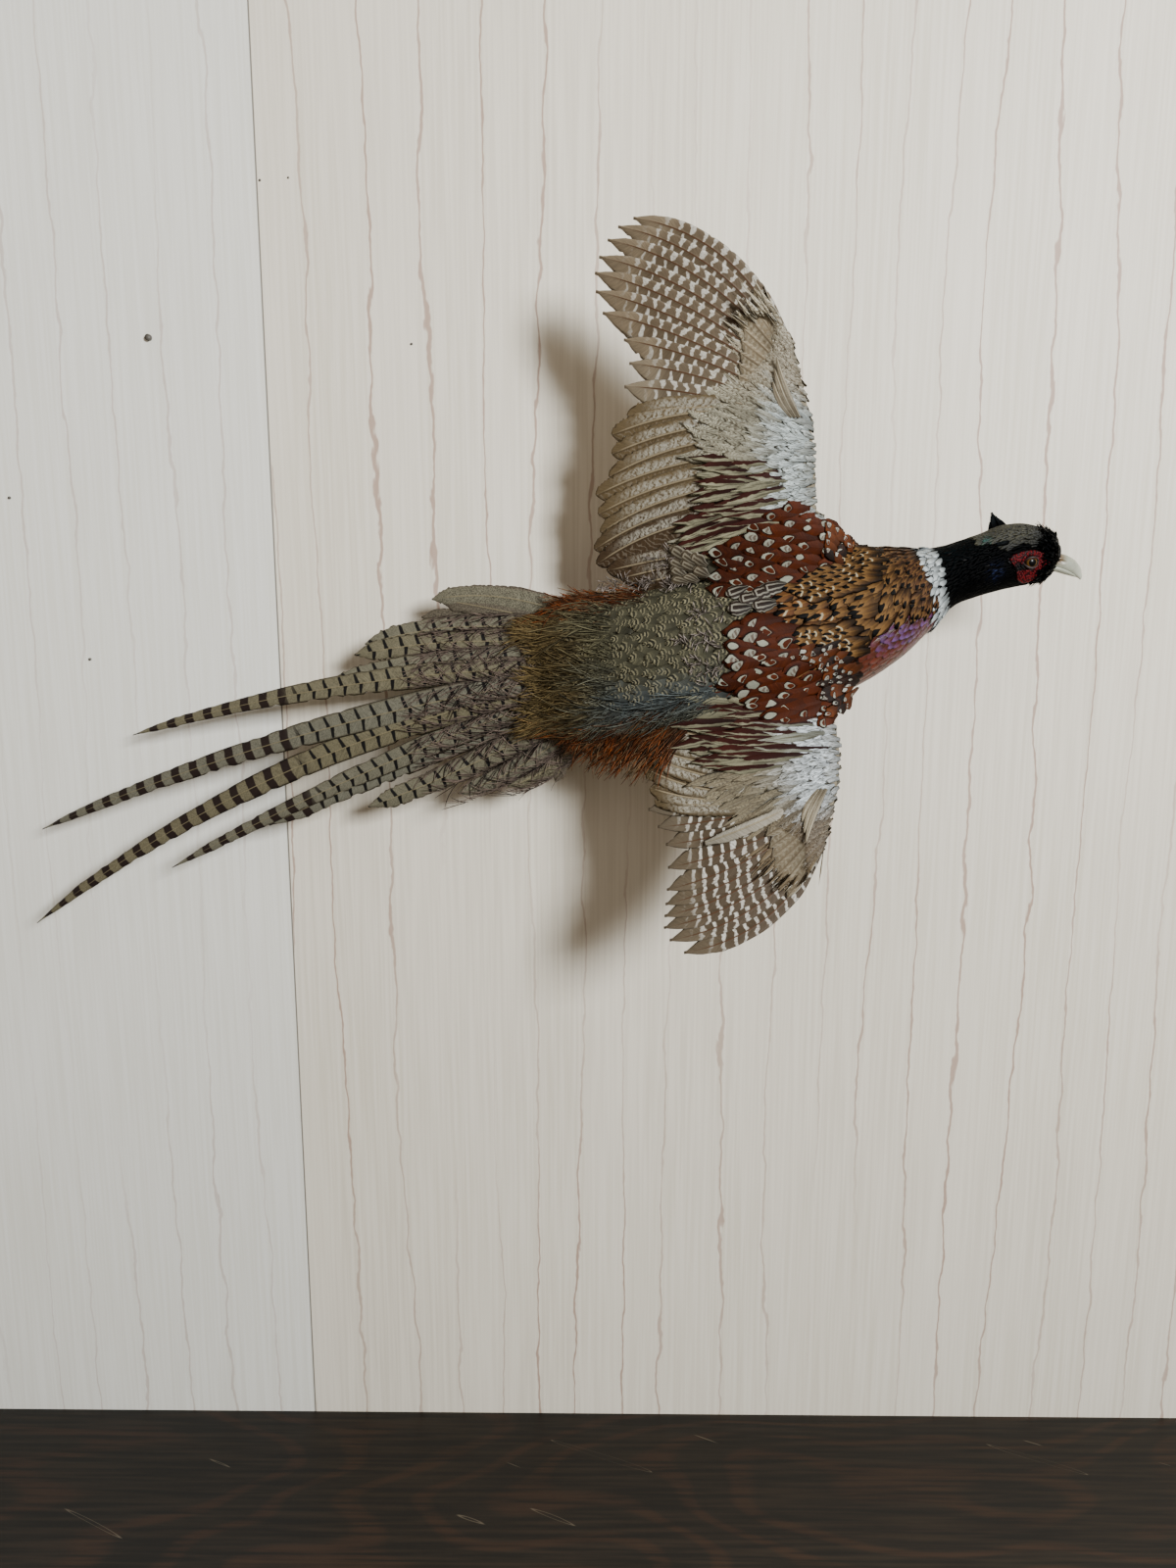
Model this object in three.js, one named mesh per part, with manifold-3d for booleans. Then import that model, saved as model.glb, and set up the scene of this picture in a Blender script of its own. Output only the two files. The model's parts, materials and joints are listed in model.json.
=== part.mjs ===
// A cock ring-necked pheasant mounted in level flight and hung on a wall, back outwards.
// Millimetres, +Z up. The wall is the plane y = 0. The bird is on its -Y side with its head towards +X.
// The origin is the middle of the wall plate's back face.
// Body: one smooth form along a spine, parted into rump, trunk, two lengths of neck, and head.
// Wings: a feathered arm and hand, a sheet of secondaries, an alula and ten separate primaries each.
// Tail: twelve blades fanned from the rump. The legs are folded back under the belly, by the wall.
import * as THREE from "three";
import { mergeVertices } from "three/addons/utils/BufferGeometryUtils.js";
import Module from "manifold-3d";

const wasm = await Module();
wasm.setup();

// ---- Driving dimensions ----------------------------------------------------

const GAP = 0.3; // clearance between neighbouring pieces
const AROUND = 24; // points round a body section
const STEPS_PER_SECTION = 2;

// Sections along the spine from the tail coverts to the bill: centre, roll of the back from facing out
// (0) to facing up (90), half-width, and height towards the back and towards the belly.
const SECTIONS = [
  { at: [-162, -80, -30], roll: 6, side: 50, up: 8, down: 9 }, // tail coverts
  { at: [-128, -88, -25], roll: 6, side: 58, up: 21, down: 22 }, // tail root
  { at: [-86, -96, -20], roll: 7, side: 60, up: 36, down: 38 }, // rump
  { at: [-36, -104, -10], roll: 8, side: 60, up: 46, down: 50 }, // lower back
  { at: [19, -109, 1], roll: 9, side: 62, up: 49, down: 58 }, // middle
  { at: [68, -111, 13], roll: 11, side: 59, up: 46, down: 60 }, // shoulders
  { at: [106, -114, 27], roll: 18, side: 51, up: 42, down: 50 }, // breast
  { at: [133, -116, 38.5], roll: 36, side: 40, up: 37, down: 39 }, // root of the neck
  { at: [160, -118, 51], roll: 56, side: 26.5, up: 27.5, down: 27 }, // ring
  { at: [180, -119, 58.5], roll: 70, side: 23, up: 25, down: 25 }, // upper neck
  { at: [196, -119, 63.5], roll: 78, side: 21.5, up: 25, down: 25 }, // nape
  { at: [211, -119, 68], roll: 80, side: 20, up: 26.5, down: 26 }, // back of the crown
  { at: [226, -119, 69.2], roll: 80, side: 17, up: 25.5, down: 24.5 }, // eyes
  { at: [241, -119, 68.5], roll: 80, side: 12, up: 20, down: 19 }, // lores
  { at: [252, -119, 67.5], roll: 80, side: 7.5, up: 11, down: 11 }, // root of the bill
];
const LAST = SECTIONS.length - 1;

// Where the body is parted, in sections counted from the tail coverts.
const PARTS = { rump: [0, 3], trunk: [3, 6.6], neck_lower: [6.6, 8.35], neck_upper: [8.35, 10.4] };
const HEAD = [10.4, LAST];
const SIDES = { left: -1, right: 1 };

const EYE = { place: 11.86, radius: 6.2, out: 15.2, below: 2.2 };
// The bare skin round the eye, measured from it: reach in front, behind, above and below.
const WATTLE = { front: 19, rear: 18, brow: 8, lobe: 17, thickness: 1.6, depth: 30, inset: 2 };

// Each half of the bill: centre along x and z, half-width and half-height.
const BILL_Y = -119;
const UPPER_BILL = [
  [248, 66.5, 6.2, 4.6],
  [256, 65.4, 5.6, 4.9],
  [262, 62.6, 4.6, 4.2],
  [267, 58.2, 3.2, 3],
  [270.2, 53, 1.7, 1.5],
  [271, 50.4, 0.5, 0.4],
];
const LOWER_BILL = [
  [244, 61, 5.4, 2.6],
  [252, 59.8, 4.8, 2.7],
  [259, 57.5, 3.8, 2.5],
  [264.5, 54.8, 2.5, 1.8],
  [268.3, 52.2, 0.9, 0.7],
];
const BILL_SIDES = 12;

// Short points of feather behind the crown, the left one raised and the right one laid back.
const TUFTS = {
  left: { place: 10.9, angle: -0.5, lift: 14.5, lean: 0.1, wide: 7.4 },
  right: { place: 10.7, angle: 0.95, lift: 13, lean: 1.5, wide: 5 },
};
const TUFT = { thickness: 2.2, sunk: 3, sides: 8 };

// Each wing is drawn on its own tilted surface through the shoulder. A place on it is a span, out from
// the body, a chord, back towards the tail, and a height out of the wing's upper face. The reach and
// sweep of each primary, from the innermost outwards, place its tip round the wrist.
const WINGS = {
  left: {
    side: 1,
    shoulder: [65, -130, 74],
    tilt: 10,
    bend: 16,
    wrist: [95, 18],
    handSpan: 152,
    reach: [146, 146, 156, 180, 192, 199, 202, 203, 202, 197],
    sweep: [9.6, 16.5, 22, 25.6, 29, 32.2, 35.4, 39.2, 42.6, 46.1],
    trailing: 187,
    taper: 22,
  },
  right: {
    side: -1,
    shoulder: [75, -130, -33],
    tilt: 25,
    bend: 22,
    wrist: [84, 4],
    handSpan: 134,
    reach: [147, 141, 138, 143, 152, 159, 165, 171, 174, 173],
    sweep: [3.5, 9.8, 16.5, 24, 30, 33.4, 36, 38.4, 42, 47.1],
    trailing: 167,
    taper: 24,
  },
};
const INCIDENCE = 12; // nose-up turn of both wings, in degrees
const CAMBER = { rise: 11, crest: 45, chord: 130, curve: 2.1, bendSpan: 140 };
const LEFT_WRIST_CHORD = WINGS.left.wrist[1];
// The leading edge as chord against span, from inside the body to beyond the hand.
const LEADING = [
  [-30, -22],
  [4, -18],
  [19, -5],
  [32, 8],
  [60, 10],
  [88, 14],
  [116, 21],
  [152, 34],
  [190, 58],
];
const WING_ARM = { inner: -30, coverts: 104, wristCoverts: 92, above: [7.5, 4], below: [7.5, 6.5] };
const WING_HAND = { step: 18, tipChord: 12, above: [4, 2], below: [11, 11.5] };
const WING_STEPS = { arm: 9, hand: 6, half: 7 };
const BLADE = { thickness: 0.6, step: 1, steps: 9 };
const PRIMARY = { count: 10, ahead: 7, behind: 17, bow: [10, 40], narrowing: 0.8, rootInset: 22 };
const SHEET = { inner: -26, outer: 12, front: 70, steps: 12, rows: 4, scallop: 3 };
const ALULA = { length: 48, half: 8, height: 5.4, setBack: 12, bow: 3 };

// Twelve blades from the rump on a fan that falls back towards the wall. Each has a tip (x, z), a bow
// that lifts its middle, a half-width, a layer below the outermost one, and its row at the root.
const TAIL_FEATHERS = [
  { tip: [-253, 33], bow: 26, half: 12, layer: 10, row: 6 },
  { tip: [-311, -5], bow: 28, half: 13, layer: 8, row: 4.5 },
  { tip: [-320, -14], bow: 20, half: 13, layer: 6, row: 3.2 },
  { tip: [-341, -37], bow: 18, half: 12.5, layer: 4, row: 2 },
  { tip: [-522, -86], bow: 32, half: 11, layer: 2, row: 1 },
  { tip: [-609, -171], bow: 35, half: 12, layer: 0, row: 0.3 },
  { tip: [-619, -257], bow: 66, half: 12, layer: 1, row: -0.3 },
  { tip: [-490, -203], bow: 17, half: 11, layer: 3, row: -1 },
  { tip: [-400, -163], bow: 8, half: 12, layer: 5, row: -2 },
  { tip: [-312, -146], bow: -12, half: 13, layer: 7, row: -3 },
  { tip: [-233, -134], bow: -20, half: 13, layer: 9, row: -4 },
  { tip: [-190, -128], bow: -24, half: 12, layer: 11, row: -5 },
];
const TAIL = { root: [-112, -90, -28], rise: 43, length: 520, arch: 900, layer: 1.1, spread: 6 };
const TAIL_SLOPE = { start: 0.28, growth: 0.2 }; // how far the fan's ridge drops against its length
const LONG_FEATHER = 300;

// Legs drawn up under the belly with the shanks trailing along the tail coverts.
const LEG = { aside: 25, shankAside: 16, line: -9, knee: 4, ankle: -62, foot: -118 };
const TOES = [
  { turn: 0, length: 44, rise: 0 },
  { turn: 13, length: 35, rise: 1 },
  { turn: -13, length: 35, rise: 1 },
];

const PLATE = { width: 56, height: 84, thickness: 4, corner: 10 };
const ROD = { radius: 5, collar: 11, collarLength: 5, reach: 75, sides: 16 };

// ---- Solids ----------------------------------------------------------------

const radians = THREE.MathUtils.degToRad;
const lerp = THREE.MathUtils.lerp;
const smooth = THREE.MathUtils.smoothstep;
const vector = (x, y, z) => new THREE.Vector3(x, y, z);
const spread = (from, to, steps) =>
  Array.from({ length: steps + 1 }, (_, i) => lerp(from, to, i / steps));

function volumeOf(points, faces) {
  let sum = 0;
  for (let i = 0; i < faces.length; i += 3) {
    const [a, b, c] = [points[faces[i]], points[faces[i + 1]], points[faces[i + 2]]];
    sum += a.dot(b.clone().cross(c));
  }
  return sum / 6;
}

// A closed body through rings of equal, even point counts. Each end is closed by a strip across it, from
// each point to the one opposite, so thin curved sections close cleanly. Faces point out.
function loft(rings) {
  const count = rings[0].length;
  const points = rings.flat();
  const end = (rings.length - 1) * count;
  const faces = [];
  for (let k = 0; k < count; k++) {
    const next = (k + 1) % count;
    for (let i = 0; i < rings.length - 1; i++) {
      const [a, b] = [i * count + k, i * count + next];
      faces.push(a, b, a + count, b, b + count, a + count);
    }
  }
  for (let k = 0; k < count / 2 - 1; k++) {
    const far = count - 1 - k;
    faces.push(k, far, k + 1, k + 1, far, far - 1);
    faces.push(end + k, end + k + 1, end + far, end + k + 1, end + far - 1, end + far);
  }
  const geometry = new THREE.BufferGeometry().setFromPoints(points);
  geometry.setIndex(volumeOf(points, faces) < 0 ? faces.reverse() : faces);
  return geometry;
}

// Points round an ellipse at a centre, on two axes.
function ellipse(centre, across, wide, up, high, sides) {
  return Array.from({ length: sides }, (_, k) => {
    const angle = (2 * Math.PI * (k + 0.5)) / sides;
    return centre
      .clone()
      .addScaledVector(across, wide * Math.cos(angle))
      .addScaledVector(up, high * Math.sin(angle));
  });
}

// A closed geometry as a solid that can be cut and joined.
function solid(geometry) {
  const bare = geometry.clone();
  bare.deleteAttribute("normal");
  bare.deleteAttribute("uv");
  const merged = mergeVertices(bare, 1e-4);
  return new wasm.Manifold(
    new wasm.Mesh({
      numProp: 3,
      vertProperties: new Float32Array(merged.attributes.position.array),
      triVerts: new Uint32Array(merged.index.array),
    }),
  );
}

// The largest piece of a solid as a geometry, which drops the slivers that a cut can leave.
function geometryOf(shape) {
  const pieces = shape.decompose();
  const main = pieces.reduce((best, piece) => (piece.volume() > best.volume() ? piece : best));
  const mesh = main.getMesh();
  const positions = new Float32Array(mesh.numVert * 3);
  for (let i = 0; i < mesh.numVert; i++) {
    const start = i * mesh.numProp;
    positions.set(mesh.vertProperties.subarray(start, start + 3), i * 3);
  }
  const geometry = new THREE.BufferGeometry();
  geometry.setAttribute("position", new THREE.BufferAttribute(positions, 3));
  geometry.setIndex(new THREE.BufferAttribute(mesh.triVerts, 1));
  geometry.computeVertexNormals();
  return geometry;
}

const bird = new THREE.Group();
bird.name = "pheasant";

// Colour, roughness and metalness of each finish.
const FINISHES = {
  rump: [0x7d7a55, 0.85, 0],
  trunk: [0x9a6a33, 0.8, 0],
  neck: [0x0d1512, 0.45, 0],
  collar: [0x8a5a30, 0.8, 0],
  head: [0x2b2e22, 0.6, 0],
  wattle: [0x9c1f24, 0.6, 0],
  bill: [0xc9c7ac, 0.4, 0],
  eye: [0x8a5a12, 0.1, 0],
  covert: [0xa9aca3, 0.85, 0],
  flight: [0x8b7658, 0.8, 0],
  tail: [0xa29468, 0.75, 0],
  leg: [0x77736a, 0.6, 0],
  steel: [0x8c8f92, 0.4, 1],
};

function add(name, shape, finish) {
  const [color, roughness, metalness] = FINISHES[finish];
  const material = new THREE.MeshStandardMaterial({ color, roughness, metalness });
  const mesh = new THREE.Mesh(geometryOf(shape), material);
  mesh.name = name;
  bird.add(mesh);
}

// ---- Body form -------------------------------------------------------------

const curveOf = (pick) => {
  const points = SECTIONS.map((section) => vector(...pick(section)));
  return new THREE.CatmullRomCurve3(points, false, "catmullrom", 0.5);
};
const spine = curveOf((section) => section.at);
const sizes = curveOf((section) => [section.side, section.up, section.down]);
const rolls = curveOf((section) => [section.roll, 0, 0]);

// The bird's own axes at a place along the spine: forward, back (dorsal) and right.
function axesAt(place) {
  const share = place / LAST;
  const forward = spine.getTangent(share);
  const outward = vector(0, -1, 0).addScaledVector(forward, forward.y).normalize();
  const upward = outward.clone().cross(forward);
  const roll = radians(rolls.getPoint(share).x);
  const back = outward.multiplyScalar(Math.cos(roll)).addScaledVector(upward, Math.sin(roll));
  return { forward, back, right: forward.clone().cross(back), centre: spine.getPoint(share) };
}

// A point of the form at an angle from the back, positive towards the bird's right.
function bodyPoint(place, angle, grow = 0) {
  const { centre, back, right } = axesAt(place);
  const size = sizes.getPoint(place / LAST);
  const rise = (Math.cos(angle) > 0 ? size.y : size.z) + grow;
  return centre
    .addScaledVector(back, rise * Math.cos(angle))
    .addScaledVector(right, (size.x + grow) * Math.sin(angle));
}

// A stretch of the body, held back by half a gap at each cut, or run past the cuts where it is grown.
function bodyPart([from, to], grow = 0) {
  const step = 0.01;
  const trim = (place) => {
    const reach = spine.getPoint(place / LAST).distanceTo(spine.getPoint((place - step) / LAST));
    return ((grow > 0 ? -GAP : GAP / 2) * step) / reach;
  };
  const start = from > 0 ? from + trim(from) : from;
  const end = to < LAST ? to - trim(to) : to;
  const places = spread(start, end, Math.ceil((to - from) * STEPS_PER_SECTION));
  const angles = spread(0, 2 * Math.PI, AROUND).slice(0, AROUND);
  return solid(loft(places.map((place) => angles.map((angle) => bodyPoint(place, angle, grow)))));
}

const bodyGrown = [...Object.values(PARTS), HEAD]
  .map((range) => bodyPart(range, GAP))
  .reduce((whole, piece) => whole.add(piece));

const partFinish = { rump: "rump", trunk: "trunk", neck_lower: "collar", neck_upper: "neck" };
for (const [name, range] of Object.entries(PARTS)) add(name, bodyPart(range), partFinish[name]);

// ---- Wall plate and rod ----------------------------------------------------

function wallPlate() {
  const [w, h, r] = [PLATE.width / 2, PLATE.height / 2, PLATE.corner];
  const outline = new THREE.Shape();
  outline.moveTo(-w + r, -h);
  outline.lineTo(w - r, -h).absarc(w - r, -h + r, r, -Math.PI / 2, 0);
  outline.lineTo(w, h - r).absarc(w - r, h - r, r, 0, Math.PI / 2);
  outline.lineTo(-w + r, h).absarc(-w + r, h - r, r, Math.PI / 2, Math.PI);
  outline.lineTo(-w, -h + r).absarc(-w + r, -h + r, r, Math.PI, 1.5 * Math.PI);
  const options = { depth: PLATE.thickness, bevelEnabled: false, curveSegments: 5 };
  return new THREE.ExtrudeGeometry(outline, options).rotateX(Math.PI / 2);
}

function wallRod() {
  const profile = [
    [0, 0],
    [ROD.collar, 0],
    [ROD.collar, ROD.collarLength],
    [ROD.radius, ROD.collarLength + 2],
    [ROD.radius, ROD.reach],
    [0, ROD.reach],
  ].map(([radius, along]) => new THREE.Vector2(radius, along));
  const turned = new THREE.LatheGeometry(profile, ROD.sides);
  return turned.rotateX(Math.PI).translate(0, -PLATE.thickness - GAP, 0);
}

const rod = solid(wallRod());
add("wall_plate", solid(wallPlate()), "steel");
add("wall_rod", rod.subtract(bodyGrown), "steel");

// ---- Head, eyes, wattles and bill ------------------------------------------

const eyeAxes = axesAt(EYE.place);
function eyeCentre(side) {
  return eyeAxes.centre
    .clone()
    .addScaledVector(eyeAxes.right, side * EYE.out)
    .addScaledVector(eyeAxes.back, -EYE.below);
}
const eyeball = (side, radius) =>
  solid(new THREE.SphereGeometry(radius, 12, 7).translate(...eyeCentre(side).toArray()));

// The outline of the bare skin: a band over the eye that runs forward to the bill, and a lobe below.
function wattlePrism(side) {
  const { front, rear, brow, lobe, depth, inset } = WATTLE;
  const outline = new THREE.Shape();
  outline.moveTo(-rear, 3);
  outline.bezierCurveTo(-10, brow, -2, brow + 1, 5, brow);
  outline.bezierCurveTo(12, brow - 2, front - 1, 3, front, -3);
  outline.bezierCurveTo(12, -5, 8, -6, 5, 3 - lobe);
  outline.bezierCurveTo(1, -lobe - 1, -6, -lobe, -8, 5 - lobe);
  outline.bezierCurveTo(-8, -5, -12, 0, -rear, 3);
  const options = { depth, bevelEnabled: false, curveSegments: 2 };
  const prism = new THREE.ExtrudeGeometry(outline, options);
  const basis = new THREE.Matrix4().makeBasis(eyeAxes.forward, eyeAxes.back, eyeAxes.right);
  const inner = side > 0 ? -inset : inset - depth;
  const from = eyeCentre(side).addScaledVector(eyeAxes.right, inner);
  return solid(prism.applyMatrix4(basis.setPosition(from)));
}

const headGrown = bodyPart(HEAD, GAP);
const wattleShell = bodyPart(HEAD, WATTLE.thickness).subtract(headGrown);
const sockets = Object.values(SIDES).map((side) => eyeball(side, EYE.radius + GAP));
add("head", bodyPart(HEAD).subtract(sockets[0]).subtract(sockets[1]), "head");
Object.entries(SIDES).forEach(([name, side], i) => {
  add("eye_" + name, eyeball(side, EYE.radius), "eye");
  const patch = wattleShell.intersect(wattlePrism(side)).subtract(sockets[i]);
  add("wattle_" + name, patch, "wattle");
});

function billForm(rows, grow = 0) {
  const rings = rows.map(([x, z, wide, high], i) => {
    const [before, after] = [rows[Math.max(i - 1, 0)], rows[Math.min(i + 1, rows.length - 1)]];
    const along = vector(after[0] - before[0], 0, after[1] - before[1]).normalize();
    const up = vector(-along.z, 0, along.x);
    const across = vector(0, 1, 0);
    return ellipse(vector(x, BILL_Y, z), across, wide + grow, up, high + grow, BILL_SIDES);
  });
  return solid(loft(rings));
}
const face = headGrown.add(wattleShell);
add("bill_upper", billForm(UPPER_BILL).subtract(face), "bill");
add("bill_lower", billForm(LOWER_BILL).subtract(face).subtract(billForm(UPPER_BILL, GAP)), "bill");

// ---- Ear tufts -------------------------------------------------------------

for (const [name, { place, angle, lift, lean, wide }] of Object.entries(TUFTS)) {
  const { forward, centre } = axesAt(place);
  const root = bodyPoint(place, angle, -TUFT.sunk);
  const rise = root.clone().sub(centre).normalize().addScaledVector(forward, -lean).normalize();
  const across = forward.clone().addScaledVector(rise, -forward.dot(rise)).normalize();
  const through = across.clone().cross(rise);
  const rings = [0, 0.35, 0.7, 1].map((share) => {
    const taper = 1 - 0.9 * share ** 1.4;
    const at = root.clone().addScaledVector(rise, share * lift);
    return ellipse(at, across, wide * taper, through, TUFT.thickness * taper, TUFT.sides);
  });
  add("ear_tuft_" + name, solid(loft(rings)).subtract(bodyGrown), "neck");
}

// ---- Wings -----------------------------------------------------------------

function leadingChord(wing, span) {
  const i = Math.max(1, LEADING.findIndex(([reach]) => reach >= span));
  const [[s0, c0], [s1, c1]] = [LEADING[i - 1], LEADING[i]];
  const shift = (wing.wrist[1] - LEFT_WRIST_CHORD) * smooth(span, 0, 60);
  return lerp(c0, c1, (span - s0) / (s1 - s0)) + shift;
}

// The arch of the wing: highest behind the leading edge, falling to the trailing edge, and bent out of
// the wing's plane beyond the wrist.
function archAt(wing, span, chord) {
  const back = (chord - CAMBER.crest) / CAMBER.chord;
  const past = Math.max(0, span - wing.wrist[0]) / CAMBER.bendSpan;
  return CAMBER.rise * (1 - CAMBER.curve * back * back) + wing.bend * past * past;
}

// A wing's own axes, as a function from span, chord and height to a point.
function wingPlace(wing) {
  const [tilt, turn] = [radians(wing.tilt), radians(INCIDENCE)];
  const out = vector(0, -Math.sin(tilt), wing.side * Math.cos(tilt));
  const face = out.clone().cross(vector(-1, 0, 0)).multiplyScalar(wing.side);
  const aft = vector(-Math.cos(turn), 0, 0).addScaledVector(face, -Math.sin(turn));
  const up = out.clone().cross(aft).multiplyScalar(wing.side);
  return (span, chord, height) =>
    vector(...wing.shoulder)
      .addScaledVector(out, span)
      .addScaledVector(aft, chord)
      .addScaledVector(up, height + archAt(wing, span, chord));
}

// A stretch of wing with a rounded front and a thin rear.
function wingBlock(place, spans, frontAt, rearAt, aboveAt, belowAt) {
  const { half } = WING_STEPS;
  const rings = spans.map((span) =>
    Array.from({ length: 2 * half }, (_, k) => {
      const angle = (Math.PI * (k + 0.5)) / half;
      const share = (1 - Math.cos(angle)) / 2;
      const swell = 0.18 + 2.13 * Math.sqrt(share) * (1 - share);
      const height = Math.sin(angle) > 0 ? aboveAt(span) * swell : -belowAt(span) * swell;
      return place(span, lerp(frontAt(span), rearAt(span), share), height);
    }),
  );
  return solid(loft(rings));
}

// A feather as a thin blade along a bowed line. Its outline gives the half-widths ahead and behind.
function blade(place, root, tip, bow, height, outline) {
  const [start, end] = [new THREE.Vector2(...root), new THREE.Vector2(...tip)];
  const chord = end.clone().sub(start);
  const aside = new THREE.Vector2(-chord.y, chord.x).normalize();
  const middle = start.clone().lerp(end, 0.5).addScaledVector(aside, bow);
  const line = new THREE.QuadraticBezierCurve(start, middle, end);
  const rings = spread(0, 1, BLADE.steps).map((share) => {
    const centre = line.getPoint(share);
    const along = line.getTangent(share);
    const [ahead, behind] = outline(share);
    const edge = (offset, level) =>
      place(centre.x - along.y * offset, centre.y + along.x * offset, height + level);
    const half = BLADE.thickness / 2;
    return [edge(-ahead, half), edge(behind, half), edge(behind, -half), edge(-ahead, -half)];
  });
  return solid(loft(rings));
}

// Broad for most of its length, then tapering to a blunt tip.
function primaryOutline(share, order) {
  const tip = Math.sqrt(Math.max(0.012, 1 - smooth(share, 0.72, 1) ** 1.6));
  const width = tip * (0.35 + 0.65 * smooth(share, 0, 0.3));
  return [PRIMARY.ahead * width, PRIMARY.behind * width * lerp(1, PRIMARY.narrowing, order)];
}

function alulaOutline(share) {
  const width = ALULA.half * Math.sqrt(Math.max(0.02, 1 - share ** 2.2));
  return [width * 0.4, width];
}

for (const [name, wing] of Object.entries(WINGS)) {
  const place = wingPlace(wing);
  const [wristSpan, wristChord] = wing.wrist;
  const label = "wing_" + name;
  const front = (span) => leadingChord(wing, span);

  // The arm, from inside the body to the wrist, and the same form grown by the gap to cut with.
  const armRange = (span) => smooth(span, 20, wristSpan);
  const armRear = (span) => lerp(WING_ARM.coverts, WING_ARM.wristCoverts, armRange(span));
  const armForm = (grow) => {
    const spans = spread(WING_ARM.inner - grow, wristSpan + grow, WING_STEPS.arm);
    const frontAt = (span) => front(Math.max(span, WING_ARM.inner)) - grow;
    const rearAt = (span) => armRear(span) + grow;
    const heightAt = (range) => (span) => lerp(...range, armRange(span)) * (1 + grow / 5) + grow;
    const [above, below] = [heightAt(WING_ARM.above), heightAt(WING_ARM.below)];
    return wingBlock(place, spans, frontAt, rearAt, above, below);
  };
  const armGrown = armForm(GAP);
  add(label + "_arm", armForm(0).subtract(bodyGrown), "covert");

  // The hand, from the wrist to the roots of the outermost primaries.
  const handRange = (span) => smooth(span, wristSpan, wing.handSpan);
  const handRear = (span) =>
    lerp(WING_ARM.wristCoverts - WING_HAND.step, front(wing.handSpan) + WING_HAND.tipChord, handRange(span));
  const handForm = (grow) => {
    const spans = spread(wristSpan + 2 * (GAP - grow), wing.handSpan + grow, WING_STEPS.hand);
    const [frontAt, rearAt] = [(span) => front(span) - grow, (span) => handRear(span) + grow];
    const heightAt = (range) => (span) => lerp(...range, handRange(span)) * (1 + grow / 3) + 2 * grow;
    const [above, below] = [heightAt(WING_HAND.above), heightAt(WING_HAND.below)];
    return wingBlock(place, spans, frontAt, rearAt, above, below);
  };
  add(label + "_hand", handForm(0).subtract(armGrown), "covert");

  const bones = armGrown.add(handForm(GAP));
  for (let i = 0; i < PRIMARY.count; i++) {
    const order = i / (PRIMARY.count - 1);
    const angle = radians(wing.sweep[i]);
    const root = [
      lerp(wristSpan + 2, wing.handSpan - 6, order),
      lerp(wristChord + PRIMARY.rootInset, front(wing.handSpan) + 7, order),
    ];
    const tip = [
      wristSpan + wing.reach[i] * Math.sin(angle),
      wristChord + wing.reach[i] * Math.cos(angle),
    ];
    const height = -BLADE.step * (i + 1.2);
    const bow = -lerp(...PRIMARY.bow, order ** 1.6);
    const form = blade(place, root, tip, bow, height, (share) => primaryOutline(share, order));
    add(`${label}_primary_${String(i + 1).padStart(2, "0")}`, form.subtract(bones), "flight");
  }

  // The secondaries overlap into one sheet, from under the coverts to a scalloped trailing edge.
  const sheetRings = spread(SHEET.inner, wristSpan + SHEET.outer, SHEET.steps).map((span, i) => {
    const scallop = i % 2 ? 0 : SHEET.scallop;
    const rear = wing.trailing - scallop - wing.taper * smooth(span, 15, wristSpan + 20);
    const chords = spread(SHEET.front, rear, SHEET.rows);
    const half = BLADE.thickness / 2;
    const top = chords.map((chord) => place(span, chord, half));
    const low = chords.map((chord) => place(span, chord, -half)).reverse();
    return [...top, ...low];
  });
  const sheet = solid(loft(sheetRings)).subtract(bones).subtract(bodyGrown);
  add(label + "_secondaries", sheet, "flight");

  const alulaTip = wristSpan + ALULA.length;
  const alulaRoot = [wristSpan + 4, front(wristSpan) + ALULA.setBack];
  const alulaEnd = [alulaTip, front(alulaTip) + ALULA.setBack + 3];
  const alula = blade(place, alulaRoot, alulaEnd, -ALULA.bow, ALULA.height, alulaOutline);
  add(label + "_alula", alula.subtract(bones), "flight");
}

// ---- Tail ------------------------------------------------------------------

// The fan's surface: it leans back to the wall on both sides of a ridge, and nears it along its length.
function tailPoint(x, z, depth) {
  const [rootX, rootY, rootZ] = TAIL.root;
  const out = rootX - x;
  const slope = TAIL_SLOPE.start + (TAIL_SLOPE.growth * out) / TAIL.length;
  const aside = z - rootZ + slope * out;
  const rise = (TAIL.rise * Math.hypot(out, z - rootZ)) / TAIL.length;
  return vector(x, rootY + rise + (aside * aside) / TAIL.arch + depth, z);
}

// Short feathers stay broad to a round tip. Long ones narrow along their whole length.
function tailOutline(share, half, long) {
  const taper = long ? 1 - 0.6 * smooth(share, 0.25, 1) : 1 - 0.3 * share;
  const tip = Math.sqrt(Math.max(0.01, 1 - smooth(share, 0.86, 1) ** 1.5));
  const width = half * taper * tip * (0.5 + 0.5 * smooth(share, 0, 0.2));
  return [width, width];
}

TAIL_FEATHERS.forEach(({ tip, bow, half, layer, row }, i) => {
  const [rootX, , rootZ] = TAIL.root;
  const root = [rootX, rootZ + row * TAIL.spread];
  const long = rootX - tip[0] > LONG_FEATHER;
  const place = (x, z, level) => tailPoint(x, z, layer * TAIL.layer - level);
  const form = blade(place, root, tip, -bow, 0, (share) => tailOutline(share, half, long));
  add("tail_feather_" + String(i + 1).padStart(2, "0"), form.subtract(bodyGrown), "tail");
});

// ---- Legs ------------------------------------------------------------------

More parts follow.
